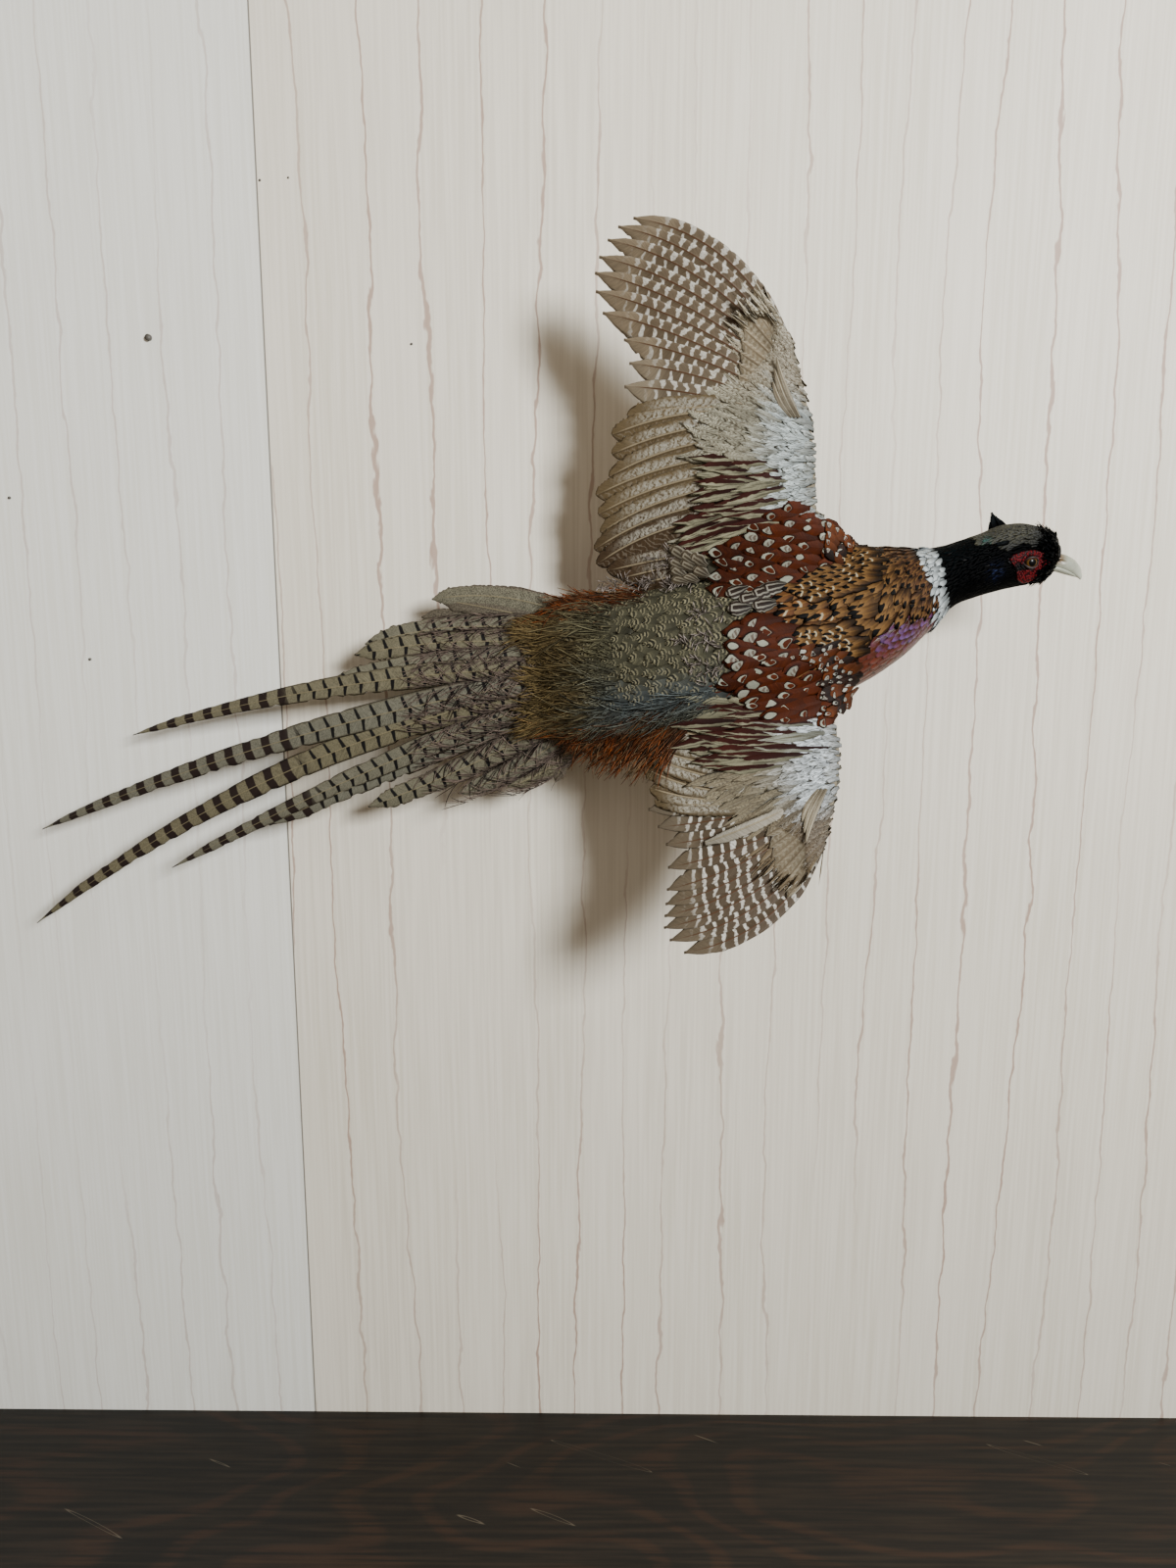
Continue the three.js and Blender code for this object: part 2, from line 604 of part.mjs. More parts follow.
// A tapering round limb through points, each with its radius.
function limb(points, sides = 6) {
  const rings = points.map(([x, y, z, radius], i) => {
    const [before, after] = [points[Math.max(i - 1, 0)], points[Math.min(i + 1, points.length - 1)]];
    const along = vector(...after.slice(0, 3)).sub(vector(...before.slice(0, 3))).normalize();
    const across = vector(0, 0, 1).addScaledVector(along, -along.z).normalize();
    return ellipse(vector(x, y, z), across, radius, along.clone().cross(across), radius, sides);
  });
  return solid(loft(rings));
}

for (const [name, side] of Object.entries(SIDES)) {
  const { knee, ankle, foot } = LEG;
  const z = (share) => LEG.line - side * lerp(LEG.aside, LEG.shankAside, share);
  const thighRows = [
    [knee + 14, -58, z(0), 9],
    [knee, -54, z(0), 16],
    [knee - 22, -48, z(0.2), 16],
    [knee - 46, -40, z(0.5), 10],
    [ankle, -34, z(0.7), 5.2],
  ];
  const thigh = limb(thighRows, 12);
  add("thigh_" + name, thigh.subtract(bodyGrown).subtract(rod), "trunk");

  const shank = limb([
    [ankle - GAP, -34, z(0.7), 4.4],
    [ankle - 8, -33, z(0.75), 4.2],
    [lerp(ankle, foot, 0.5), -30, z(0.85), 3.3],
    [foot, -27, z(0.95), 4.2],
  ]);
  const spur = limb([
    [lerp(ankle, foot, 0.62), -31, z(0.88), 3],
    [lerp(ankle, foot, 0.7), -38, z(0.88), 0.8],
  ]);
  const hindToe = limb([
    [foot + 2, -27, z(0.95), 2.6],
    [foot - 4, -20, z(0.95), 2],
    [foot - 10, -16, z(0.95), 0.8],
  ]);
  const toes = TOES.map(({ turn, length, rise }) =>
    limb([
      [foot + 3, -27, z(0.95), 3.6],
      [foot - length * 0.4, -27 + rise, z(0.95) + turn * 0.4, 2.9],
      [foot - length * 0.8, -25 + rise, z(0.95) + turn * 0.8, 2.5],
      [foot - length, -21 + rise, z(0.95) + turn, 1],
    ]),
  );
  const whole = [spur, hindToe, ...toes].reduce((joined, piece) => joined.add(piece), shank);
  add("foot_" + name, whole.subtract(bodyGrown).subtract(thigh), "leg");
}

export default bird;
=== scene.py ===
# A cock ring-necked pheasant, skinned, mounted in level flight and hung on a wall with its back outwards.
# One skin lies inside the solids of flesh, and every feather is a closed mesh that lies over it.
import json
import math

import bmesh
import bpy
import numpy as np
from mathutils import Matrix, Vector
from mathutils.bvhtree import BVHTree

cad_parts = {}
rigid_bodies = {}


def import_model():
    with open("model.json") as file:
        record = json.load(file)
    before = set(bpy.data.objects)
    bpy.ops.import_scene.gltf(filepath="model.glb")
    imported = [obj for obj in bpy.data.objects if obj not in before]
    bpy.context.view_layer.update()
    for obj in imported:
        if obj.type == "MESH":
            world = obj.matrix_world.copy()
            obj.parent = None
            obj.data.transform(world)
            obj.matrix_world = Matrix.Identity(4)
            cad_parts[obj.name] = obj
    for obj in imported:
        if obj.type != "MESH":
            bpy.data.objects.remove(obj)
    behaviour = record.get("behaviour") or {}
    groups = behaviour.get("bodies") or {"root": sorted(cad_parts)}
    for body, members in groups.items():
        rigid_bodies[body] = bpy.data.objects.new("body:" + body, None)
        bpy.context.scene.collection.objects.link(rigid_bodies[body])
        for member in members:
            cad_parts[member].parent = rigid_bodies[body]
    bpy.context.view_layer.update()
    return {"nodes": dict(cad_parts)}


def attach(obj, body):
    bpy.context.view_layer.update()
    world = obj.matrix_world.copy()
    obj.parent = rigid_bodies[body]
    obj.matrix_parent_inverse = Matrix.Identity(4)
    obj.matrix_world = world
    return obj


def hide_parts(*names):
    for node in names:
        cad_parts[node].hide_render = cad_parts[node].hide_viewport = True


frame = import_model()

# ---- View ------------------------------------------------------------------
# The bird hangs on a wall at eye height and is seen from about a metre in front, from a little above.
# The camera is an ordinary wide lens held upright.

EYE_POINT = (-0.120, -1.068, 0.063)
LOOK_DOWN = math.radians(10.6)
FOCAL_LENGTH = 27.05  # mm, on a sensor whose long side is 36 mm

camera_data = bpy.data.cameras.new("camera")
camera_data.lens = FOCAL_LENGTH
camera_data.sensor_width = 36
camera_data.clip_start = 0.01
camera = bpy.data.objects.new("camera", camera_data)
camera.location = EYE_POINT
camera.rotation_euler = (math.pi / 2 - LOOK_DOWN, 0, 0)
bpy.context.scene.collection.objects.link(camera)
bpy.context.scene.camera = camera

# ---- Skin ------------------------------------------------------------------
# The tanned skin over its filling: body, neck and head as one form along a spine, with the thighs and the
# fleshy part of both wings grown out of it. It lies inside the solids by the depth of the coat.

# Centre, roll of the back (degrees), half-width, and height to the back and to the belly.
SECTIONS = np.array([
    (-0.162, -0.080, -0.0300, 6, 0.0500, 0.0080, 0.0090),
    (-0.128, -0.088, -0.0250, 6, 0.0580, 0.0210, 0.0220),
    (-0.086, -0.096, -0.0200, 7, 0.0600, 0.0360, 0.0380),
    (-0.036, -0.104, -0.0100, 8, 0.0600, 0.0460, 0.0500),
    (0.019, -0.109, 0.0010, 9, 0.0620, 0.0490, 0.0580),
    (0.068, -0.111, 0.0130, 11, 0.0590, 0.0460, 0.0600),
    (0.106, -0.114, 0.0270, 18, 0.0510, 0.0420, 0.0500),
    (0.133, -0.116, 0.0385, 36, 0.0400, 0.0370, 0.0390),
    (0.160, -0.118, 0.0510, 56, 0.0265, 0.0275, 0.0270),
    (0.180, -0.119, 0.0585, 70, 0.0230, 0.0250, 0.0250),
    (0.196, -0.119, 0.0635, 78, 0.0215, 0.0250, 0.0250),
    (0.211, -0.119, 0.0680, 80, 0.0200, 0.0265, 0.0260),
    (0.226, -0.119, 0.0692, 80, 0.0170, 0.0255, 0.0245),
    (0.241, -0.119, 0.0685, 80, 0.0120, 0.0200, 0.0190),
    (0.252, -0.119, 0.0675, 80, 0.0075, 0.0110, 0.0110),
])
LAST = len(SECTIONS) - 1
HEAD = 10.4  # the back of the head, as a place along the spine


def unit(vectors):
    return vectors / np.linalg.norm(vectors, axis=-1, keepdims=True)


def ease(low, high, value):
    share = np.clip((np.asarray(value, float) - low) / (high - low), 0, 1)
    return share * share * (3 - 2 * share)


def along_spine(columns, place):
    table = SECTIONS[:, columns]
    rows = np.vstack([2 * table[0] - table[1], table, 2 * table[-1] - table[-2]])
    place = np.clip(np.asarray(place, float), 0, LAST)
    first = np.minimum(place.astype(int), LAST - 1)
    share = (place - first)[..., None]
    before, start, end, after = (rows[first + k] for k in range(4))
    leave, arrive = (end - before) / 2, (after - start) / 2
    bend = 3 * (end - start) - 2 * leave - arrive
    return start + share * (leave + share * (bend + share * (2 * (start - end) + leave + arrive)))


def body_axes(place):
    """The centre of the body at a place, and the bird's forward, back and right there."""
    step = 0.0014
    place = np.clip(np.asarray(place, float), 0, LAST)
    centre = along_spine([0, 1, 2], place)
    forward = unit(along_spine([0, 1, 2], place + step) - along_spine([0, 1, 2], place - step))
    outward = unit(np.array([0.0, -1, 0]) + forward * forward[..., 1:2])
    upward = np.cross(outward, forward)
    roll = np.radians(along_spine([3], place))
    back = outward * np.cos(roll) + upward * np.sin(roll)
    return centre, forward, back, np.cross(forward, back)


def body_point(place, angle, grow=0.0):
    """A point of the body's form at an angle from the back, positive towards the bird's right."""
    centre, _, back, right = body_axes(place)
    side, up, down = np.moveaxis(along_spine([4, 5, 6], place), -1, 0)
    rise = np.where(np.cos(angle) > 0, up, down) + grow
    aside = (side + grow) * np.sin(angle)
    return centre + back * (rise * np.cos(angle))[..., None] + right * aside[..., None]


def body_normal(place, angle, grow=0.0):
    step = 0.01
    forward = body_point(place + step, angle, grow) - body_point(place - step, angle, grow)
    around = body_point(place, angle + step, grow) - body_point(place, angle - step, grow)
    return unit(np.cross(around, forward))


WINGS = {
    "left": {
        "side": 1, "shoulder": (0.065, -0.130, 0.074), "tilt": 10, "bend": 0.016,
        "wrist": (0.095, 0.018), "hand": 0.152, "trailing": 0.187, "taper": 0.022,
    },
    "right": {
        "side": -1, "shoulder": (0.075, -0.130, -0.033), "tilt": 25, "bend": 0.022,
        "wrist": (0.084, 0.004), "hand": 0.134, "trailing": 0.167, "taper": 0.024,
    },
}
INCIDENCE = math.radians(12)
LEADING_SPANS = (-0.030, 0.004, 0.019, 0.032, 0.060, 0.088, 0.116, 0.152, 0.190)
LEADING_CHORDS = (-0.022, -0.018, -0.005, 0.008, 0.010, 0.014, 0.021, 0.034, 0.058)


def leading_chord(wing, span):
    shift = (wing["wrist"][1] - WINGS["left"]["wrist"][1]) * ease(0, 0.060, span)
    return np.interp(span, LEADING_SPANS, LEADING_CHORDS) + shift


def wing_axes(wing):
    tilt = math.radians(wing["tilt"])
    out = np.array([0, -math.sin(tilt), wing["side"] * math.cos(tilt)])
    face = np.cross(out, (-1.0, 0, 0)) * wing["side"]
    aft = np.array([-math.cos(INCIDENCE), 0, 0]) - face * math.sin(INCIDENCE)
    return out, aft, np.cross(out, aft) * wing["side"]


def wing_point(wing, span, chord, height=0.0):
    """A point over a wing's arched surface: out from the body, back from the shoulder, and up."""
    out, aft, up = wing_axes(wing)
    back = (chord - 0.045) / 0.130
    past = np.maximum(0, span - wing["wrist"][0]) / 0.140
    lift = height + 0.011 * (1 - 2.1 * back * back) + wing["bend"] * past * past
    span, chord = np.asarray(span)[..., None], np.asarray(chord)[..., None]
    return np.array(wing["shoulder"]) + out * span + aft * chord + up * np.asarray(lift)[..., None]


def wing_flesh(wing, span):
    """Front and rear chords of the feathered arm and hand, and its height above and below."""
    wrist, hand = wing["wrist"][0], wing["hand"]
    arm, far = ease(0.020, wrist, span), ease(wrist, hand, span)
    rear_arm = 0.104 - 0.012 * arm
    tip = leading_chord(wing, hand) + 0.012
    rear = np.where(span < wrist, rear_arm, 0.074 + (tip - 0.074) * far)
    above = np.where(span < wrist, 0.0075 - 0.0035 * arm, 0.004 - 0.002 * far)
    below = np.where(span < wrist, 0.0075 - 0.0010 * arm, 0.011 + 0.0005 * far)
    return leading_chord(wing, span), rear, above, below


def wing_swell(share):
    share = np.clip(share, 0, 1)
    return 0.18 + 2.13 * np.sqrt(share) * (1 - share)


def new_mesh(name, points, faces, smooth=True):
    """A mesh object at the origin from an array of points and arrays of faces of one size each."""
    mesh = bpy.data.meshes.new(name)
    faces = [np.asarray(block, np.int32) for block in faces if len(block)]
    corners = np.concatenate([block.ravel() for block in faces])
    sizes = np.concatenate([np.full(len(block), block.shape[1]) for block in faces])
    mesh.vertices.add(len(points))
    mesh.vertices.foreach_set("co", np.asarray(points, np.float32).ravel())
    mesh.loops.add(len(corners))
    mesh.loops.foreach_set("vertex_index", corners)
    mesh.polygons.add(len(sizes))
    mesh.polygons.foreach_set("loop_start", (np.cumsum(sizes) - sizes).astype(np.int32))
    mesh.polygons.foreach_set("use_smooth", np.full(len(sizes), smooth))
    mesh.update(calc_edges=True)
    piece = bpy.data.objects.new(name, mesh)
    bpy.context.scene.collection.objects.link(piece)
    return piece


def tube_faces(rings, around):
    """Quads of a closed tube through rings, and a face over each end."""
    i, k = np.meshgrid(np.arange(rings - 1), np.arange(around), indexing="ij")
    a, b = i * around + k, i * around + (k + 1) % around
    sides = np.stack([a, b, b + around, a + around], -1).reshape(-1, 4)
    first = np.arange(around)[::-1][None]
    return [sides, first, (rings - 1) * around + np.arange(around)[None]]


def turned_out(piece, merge=True):
    """Merges doubles and turns every face outwards."""
    shape = bmesh.new()
    shape.from_mesh(piece.data)
    if merge:
        bmesh.ops.remove_doubles(shape, verts=shape.verts, dist=1e-6)
    bmesh.ops.recalc_face_normals(shape, faces=shape.faces)
    shape.to_mesh(piece.data)
    shape.free()
    return piece


COAT_DEPTH, HEAD_COAT_DEPTH, WING_COAT_DEPTH = 0.0035, 0.0016, 0.0015
EYE = {"place": 11.86, "radius": 0.0062, "out": 0.0152, "below": 0.0022}
SIDES = {"left": -1, "right": 1}


def coat_depth(place):
    return HEAD_COAT_DEPTH + (COAT_DEPTH - HEAD_COAT_DEPTH) * (1 - ease(7, 9.5, place))


def eye_axes(side):
    """The middle of an eye, and its forward, up and outward directions."""
    centre, forward, back, right = (v[0] for v in body_axes(np.array([EYE["place"]])))
    return centre + right * side * EYE["out"] - back * EYE["below"], forward, back, right * side


def skin_body():
    body_rings, head_rings, around = 150, 110, 120
    places = np.concatenate([np.linspace(0, HEAD, body_rings), np.linspace(HEAD, LAST, head_rings)[1:]])
    angles = np.linspace(0, 2 * math.pi, around, endpoint=False)
    place, angle = np.meshgrid(places, angles, indexing="ij")
    points = body_point(place, angle, 0.0) - body_normal(place, angle) * coat_depth(place)[..., None]
    # Sockets with a raised lid round each eye.
    for side in SIDES.values():
        middle, forward, back, outward = eye_axes(side)
        offset = points - middle
        reach = np.hypot(offset @ forward, offset @ back)
        near = (offset @ outward > -0.012) & (reach < 0.012)
        lid = 0.0011 * np.exp(-(((reach - 0.0066) / 0.0010) ** 2))
        hollow = -0.0055 * (1 - ease(0.0042, 0.0056, reach)) + lid
        points += outward * np.where(near, hollow, 0)[..., None]
    return new_mesh("skin", points.reshape(-1, 3), tube_faces(len(places), around))


def skin_wing(wing):
    wrist = wing["wrist"][0]
    spans = np.concatenate([np.linspace(-0.028, wrist, 26), np.linspace(wrist, wing["hand"], 16)[1:]])
    half = 14  # half the points round the arm
    angle = math.pi * (np.arange(2 * half) + 0.5) / half
    share = (1 - np.cos(angle)) / 2
    front, rear, above, below = wing_flesh(wing, spans)
    front, rear = front + WING_COAT_DEPTH, rear - 0.012
    chord = front[:, None] + (rear - front)[:, None] * share
    swell = wing_swell(share)
    up = np.maximum(above - WING_COAT_DEPTH, 0.0012)[:, None] * swell
    down = np.maximum(below - WING_COAT_DEPTH, 0.0012)[:, None] * swell
    height = np.where(np.sin(angle) > 0, up, -down)
    span = np.repeat(spans[:, None], 2 * half, 1)
    return new_mesh("arm", wing_point(wing, span, chord, height).reshape(-1, 3),
                    tube_faces(len(spans), 2 * half))


LEG = {"aside": 0.025, "shank": 0.016, "line": -0.009, "knee": 0.004, "ankle": -0.062, "foot": -0.118}


def leg_line(side, share):
    return LEG["line"] - side * (LEG["aside"] + (LEG["shank"] - LEG["aside"]) * share)


def limb(name, stations, around=16, smooth=6):
    """A round limb through stations of centre and radius, with its ends drawn in."""
    table = np.array(stations, float)
    at = np.linspace(0, len(table) - 1, (len(table) - 1) * smooth + 1)
    rows = np.stack([np.interp(at, np.arange(len(table)), table[:, k]) for k in range(4)], -1)
    rows[1:-1] = (rows[:-2] + rows[1:-1] + rows[2:]) / 3
    along = unit(np.gradient(rows[:, :3], axis=0))
    across = unit(np.array([0, 0, 1.0]) - along * along[:, 2:])
    other = np.cross(along, across)
    angle = np.linspace(0, 2 * math.pi, around, endpoint=False)
    rings = rows[:, None, :3] + rows[:, None, 3:] * (
        across[:, None] * np.cos(angle)[:, None] + other[:, None] * np.sin(angle)[:, None]
    )
    return new_mesh(name, rings.reshape(-1, 3), tube_faces(len(rows), around))


def thigh_stations(side):
    """Centre and radius of a thigh, from the knee to the ankle."""
    knee, ankle = LEG["knee"], LEG["ankle"]
    return [
        (knee + 0.012, -0.060, leg_line(side, 0), 0.007),
        (knee, -0.055, leg_line(side, 0), 0.0135),
        (knee - 0.022, -0.049, leg_line(side, 0.2), 0.0135),
        (knee - 0.046, -0.041, leg_line(side, 0.5), 0.008),
        (ankle, -0.034, leg_line(side, 0.7), 0.0042),
    ]


skin = turned_out(skin_body())
flesh = [skin_wing(wing) for wing in WINGS.values()]
flesh += [limb("thigh", thigh_stations(side)) for side in SIDES.values()]
for part in flesh:
    turned_out(part)
    joining = skin.modifiers.new("join", "BOOLEAN")
    joining.operation = "UNION"
    joining.solver = "EXACT"
    joining.object = part
joined = bpy.data.meshes.new_from_object(skin.evaluated_get(bpy.context.evaluated_depsgraph_get()))
skin.modifiers.clear()
skin.data = joined
for part in flesh:
    bpy.data.objects.remove(part)
skin_tree = BVHTree.FromPolygons(
    [v.co.copy() for v in skin.data.vertices], [list(p.vertices) for p in skin.data.polygons]
)


def tint(red, green, blue):
    """A colour given as it is seen, 0 to 255, as the amounts of light that shading works with."""
    share = np.array([red, green, blue], float) / 255
    return np.where(share <= 0.04045, share / 12.92, ((share + 0.055) / 1.055) ** 2.4)


def skin_zones():
    """The skin takes the colours of the feathers over it, so that no gap between them shows."""
    points = np.array([v.co for v in skin.data.vertices])
    places = np.linspace(0, LAST, 280)
    centre, _, back, right = body_axes(places)
    gap = np.linalg.norm(points[:, None] - centre[None], axis=2)
    near = gap.argmin(1)
    offset = points - centre[near]
    angle = np.arctan2((offset * right[near]).sum(1), (offset * back[near]).sum(1))
    place = places[near]
    zones = np.empty((len(points), 3))
    zones[:] = tint(58, 42, 26)
    zones[place < 4.2] = tint(60, 58, 44)
    zones[(place < 7.8) & ((angle > 0.9) | (angle < -1.6))] = tint(70, 28, 26)
    zones[(place < 4.2) & (np.abs(angle) > 1.6)] = tint(46, 34, 28)
    zones[place > 7.55] = tint(150, 156, 158)
    zones[place > 7.95] = tint(3, 3, 4)
    for wing in WINGS.values():
        out = wing_axes(wing)[0]
        span = (points - np.array(wing["shoulder"])) @ out
        zones[(span > 0.012) & (gap[np.arange(len(points)), near] > 0.030)] = tint(128, 118, 98)
    return zones


tones = skin.data.color_attributes.new("zone", "FLOAT_COLOR", "POINT")
colours = np.c_[skin_zones(), np.ones(len(skin.data.vertices))]
tones.data.foreach_set("color", colours.astype(np.float32).ravel())


def new_look(name, roughness, shine=0.5):
    """A material with its tree of nodes and its surface."""
    material = bpy.data.materials.new(name)
    material.use_nodes = True
    tree = material.node_tree
    surface = tree.nodes["Principled BSDF"]
    surface.inputs["Roughness"].default_value = roughness
    surface.inputs["Specular IOR Level"].default_value = shine
    return material, tree, surface


def fitted(piece, material, slot, *nodes):
    """Gives a piece its finish and its place on the bird, and hides the solids that it stands for."""
    piece.data.materials.clear()
    piece.data.materials.append(material)
    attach(piece, "root")
    if nodes:
        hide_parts(*nodes)


skin_look, tree, surface = new_look("skin", 0.8)
zone = tree.nodes.new("ShaderNodeAttribute")
zone.attribute_name = "zone"
tree.links.new(zone.outputs["Color"], surface.inputs["Base Color"])
fitted(skin, skin_look, "mantle_feathers", "rump", "trunk", "neck_lower", "neck_upper", "head",
       "thigh_left", "thigh_right", "wing_left_arm", "wing_left_hand", "wing_right_arm", "wing_right_hand")

# ---- Feathers of the mantle ------------------------------------------------
# Contour feathers are rooted in rows in the skin, point to the tail and overlap like tiles. Each is one
# thin closed vane, arched across, lifted at its root and settled at its tip, with a slightly uneven end.


def body_surface(aft, aside, height):
    """The skin of body and neck: minus the place along the spine, the angle from the back and a height."""
    place = -np.asarray(aft, float)
    points = body_point(place, aside, height - coat_depth(place))
    past = np.minimum(place, 0)[..., None]
    return points + past * 0.035 * np.array([0.97, 0.22, -0.10])


def rows_over(surface, along, spread, pitch, gap, rng):
    """Staggered rows of roots: pitch from row to row and gap within a row are in metres."""
    low, high = along
    steps, around_steps = 400, 160
    fine = np.linspace(low, high, steps)
    middle = surface(fine, np.full(steps, sum(spread(0.5)) / 2), 0)
    travel = np.concatenate([[0], np.cumsum(np.linalg.norm(np.diff(middle, axis=0), axis=1))])
    found = []
    here = 0.0
    row = 0
    while here < travel[-1]:
        aft = np.interp(here, travel, fine)
        share = here / travel[-1]
        first, last = spread(share)
        around = np.linspace(first, last, around_steps)
        ring = surface(np.full(around_steps, aft), around, 0)
        arc = np.concatenate([[0], np.cumsum(np.linalg.norm(np.diff(ring, axis=0), axis=1))])
        count = max(1, round(arc[-1] / gap(share)))
        at = (np.arange(count) + 0.25 + 0.5 * (row % 2) + rng.normal(0, 0.09, count)) / count * arc[-1]
        aside = np.interp(at, arc, around)
        slope = abs(fine[1] - fine[0]) / max(np.linalg.norm(middle[1] - middle[0]), 1e-9)
        shift = rng.normal(0, 0.13 * pitch(share), count) * slope
        found.append(np.stack([aft + shift, aside, np.full(count, share)], -1))
        here += pitch(share)
        row += 1
    return np.concatenate(found).T


def deep(values):
    """One value for each feather, shaped to meet the rows and columns of its grid."""
    return values[:, None, None]


def laid(surface, aft, aside, heading, length, width, rng, rows=7, columns=5, base=0.0, lift=0.16,
         settle=0.8, camber=0.2, narrow=0.45, blunt=0.6, fringe=0.08, bow=0.0, thick=0.00016):
    """Feathers rooted at places of a surface and laid over it, as grids over their upper sides."""
    count = len(aft)
    heading, length, width, base, lift, settle, bow = (
        np.broadcast_to(np.asarray(value, float), (count,))
        for value in (heading, length, width, base, lift, settle, bow)
    )
    step = 1e-4
    origin = surface(aft, aside, 0)
    over_aft = (surface(aft + step, aside, 0) - origin) / step
    over_aside = (surface(aft, aside + step, 0) - origin) / step
    normal = unit(np.cross(over_aft, over_aside))
    to_aft = unit(over_aft)
    to_side = np.cross(normal, to_aft)
    lie = to_aft * np.cos(heading)[:, None] + to_side * np.sin(heading)[:, None]
    cross = np.cross(normal, lie)
    aa, ab, bb = ((p * q).sum(-1) for p, q in
                  ((over_aft, over_aft), (over_aft, over_aside), (over_aside, over_aside)))
    spare = aa * bb - ab * ab

    def shares(direction):
        on_aft, on_aside = (over_aft * direction).sum(-1), (over_aside * direction).sum(-1)
        return (on_aft * bb - on_aside * ab) / spare, (on_aside * aa - on_aft * ab) / spare

    u = np.linspace(0, 1, rows)[None, :, None]
    v = np.linspace(-1, 1, columns)[None, None, :]
    half = (narrow + (1 - narrow) * ease(0, 0.45, u)) * np.sqrt(1 - 0.85 * ease(blunt, 1, u) ** 2)
    ends = 0.10 * v * v + fringe * rng.random((count, 1, columns))
    reach = u * (1 - ends * ease(0.35, 1, u))
    wide = half * deep(width) / 2 * (1 + 0.08 * rng.normal(0, 1, (count, rows, 1)))
    far = deep(length) * reach
    off = wide * v + deep(bow) * far * reach
    rise = deep(base) + deep(lift) * far * (1 - deep(settle) * reach) - camber * wide * v * v
    (aft_1, aside_1), (aft_2, aside_2) = shares(lie), shares(cross)

    def put(x, y):
        return (deep(aft) + x * deep(aft_1) + y * deep(aft_2),
                deep(aside) + x * deep(aside_1) + y * deep(aside_2))

    top = surface(*put(far, off), rise)
    if columns % 2:
        middle = slice(columns // 2, columns // 2 + 1)
        line = [k[:, :, middle] for k in (far, off, rise)]
    else:
        line = [(k[:, :, :1] + k[:, :, -1:]) / 2 for k in (far, off, rise)]
    under = surface(*put(line[0], line[1]), line[2] - thick)[:, :, 0]
    return feather_set(top, under, u, v, length, width / 2, rng)


def feather_set(top, under, u, v, length, half, rng):
    count, grid = len(top), top.shape[:3]
    return {"top": top, "under": under, "u": np.broadcast_to(u, grid), "v": np.broadcast_to(v, grid),
            "seed": rng.random(count), "length": np.broadcast_to(length, (count,)),
            "half": np.broadcast_to(half, (count,))}


def feather_piece(name, sets, material, slot, *nodes):
    """Joins sets of feathers into one closed mesh with the values that its material reads."""
    points, faces, bake = [], [], []
    stored = {"vane": [], "size": [], "ground": [], "mark": []}
    offset = 0
    for one in sets:
        count, rows, columns = one["top"].shape[:3]
        points.append(np.concatenate([one["top"].reshape(count, -1, 3), one["under"]], 1).reshape(-1, 3))
        i, j = np.meshgrid(np.arange(rows - 1), np.arange(columns - 1), indexing="ij")
        a = i * columns + j
        upper = np.stack([a, a + columns, a + columns + 1, a + 1], -1).reshape(-1, 4)
        r = np.arange(rows - 1)
        left, right, keel = r * columns, r * columns + columns - 1, rows * columns + r
        lower = np.concatenate([
            np.stack([left, keel, keel + 1, left + columns], -1),
            np.stack([keel, right, right + columns, keel + 1], -1),
        ])
        tip = (rows - 1) * columns + np.arange(columns)
        caps = np.array([[*range(columns), rows * columns], [*tip[::-1], rows * columns + rows - 1]])
        each = rows * (columns + 1)
        start = deep(offset + np.arange(count) * each)
        faces.append((start + np.concatenate([upper, lower])[None]).reshape(-1, 4))
        faces.append((start + caps[None]).reshape(-1, columns + 1))
        offset += count * each
        u = np.concatenate([one["u"].reshape(count, -1), one["u"][:, :, 0]], 1)
        v = np.concatenate([one["v"].reshape(count, -1), np.zeros((count, rows))], 1)

        def spread(value, scale=1):
            return np.repeat(np.broadcast_to(value, (count,))[:, None] * scale, each, 1)

        stored["vane"].append(np.stack([u, v, spread(one["seed"])], -1).reshape(-1, 3))
        size = [spread(one["length"], 1000), spread(one["half"], 1000), spread(one.get("sort", 0.0))]
        stored["size"].append(np.stack(size, -1).reshape(-1, 3))
        for key in ("ground", "mark"):
            colour = np.c_[np.broadcast_to(one[key], (count, 3)), np.ones(count)]
            stored[key].append(np.repeat(colour, each, 0))
        if "atlas" in one:
            low, high = (one["atlas"][:, k, None] for k in (0, 1))
            place = low + (high - low) * np.stack([v / 2 + 0.5, u], -1)
        else:
            place = one["patch"][:, None] + 0.003 * np.stack([v / 2, u - 0.5], -1)
        bake.append(place.reshape(-1, 2))
    piece = new_mesh(name, np.concatenate(points), faces)
    mesh = piece.data
    for key, rows in stored.items():
        kind, field = ("FLOAT_COLOR", "color") if key in ("ground", "mark") else ("FLOAT_VECTOR", "vector")
        values = np.concatenate(rows).astype(np.float32).ravel()
        mesh.attributes.new(key, kind, "POINT").data.foreach_set(field, values)
    corners = np.empty(len(mesh.loops), np.int32)
    mesh.loops.foreach_get("vertex_index", corners)
    layer = mesh.uv_layers.new(name="OFBake")
    layer.data.foreach_set("uv", np.concatenate(bake)[corners].astype(np.float32).ravel())
    fitted(piece, material, slot, *nodes)


def body_patch(aft, aside):
    """Where a root lies on the unwrapped skin."""
    turn = np.asarray(aside) / (2 * math.pi) % 1
    return np.stack([0.02 + 0.45 * -np.asarray(aft) / LAST, 0.02 + 0.96 * turn], -1)


def on_body(aft, aside, *rest, **shape):
    """Feathers laid on the skin of body and neck."""
    one = laid(body_surface, aft, aside, *rest, **shape)
    one["patch"] = body_patch(aft, aside)
    return one


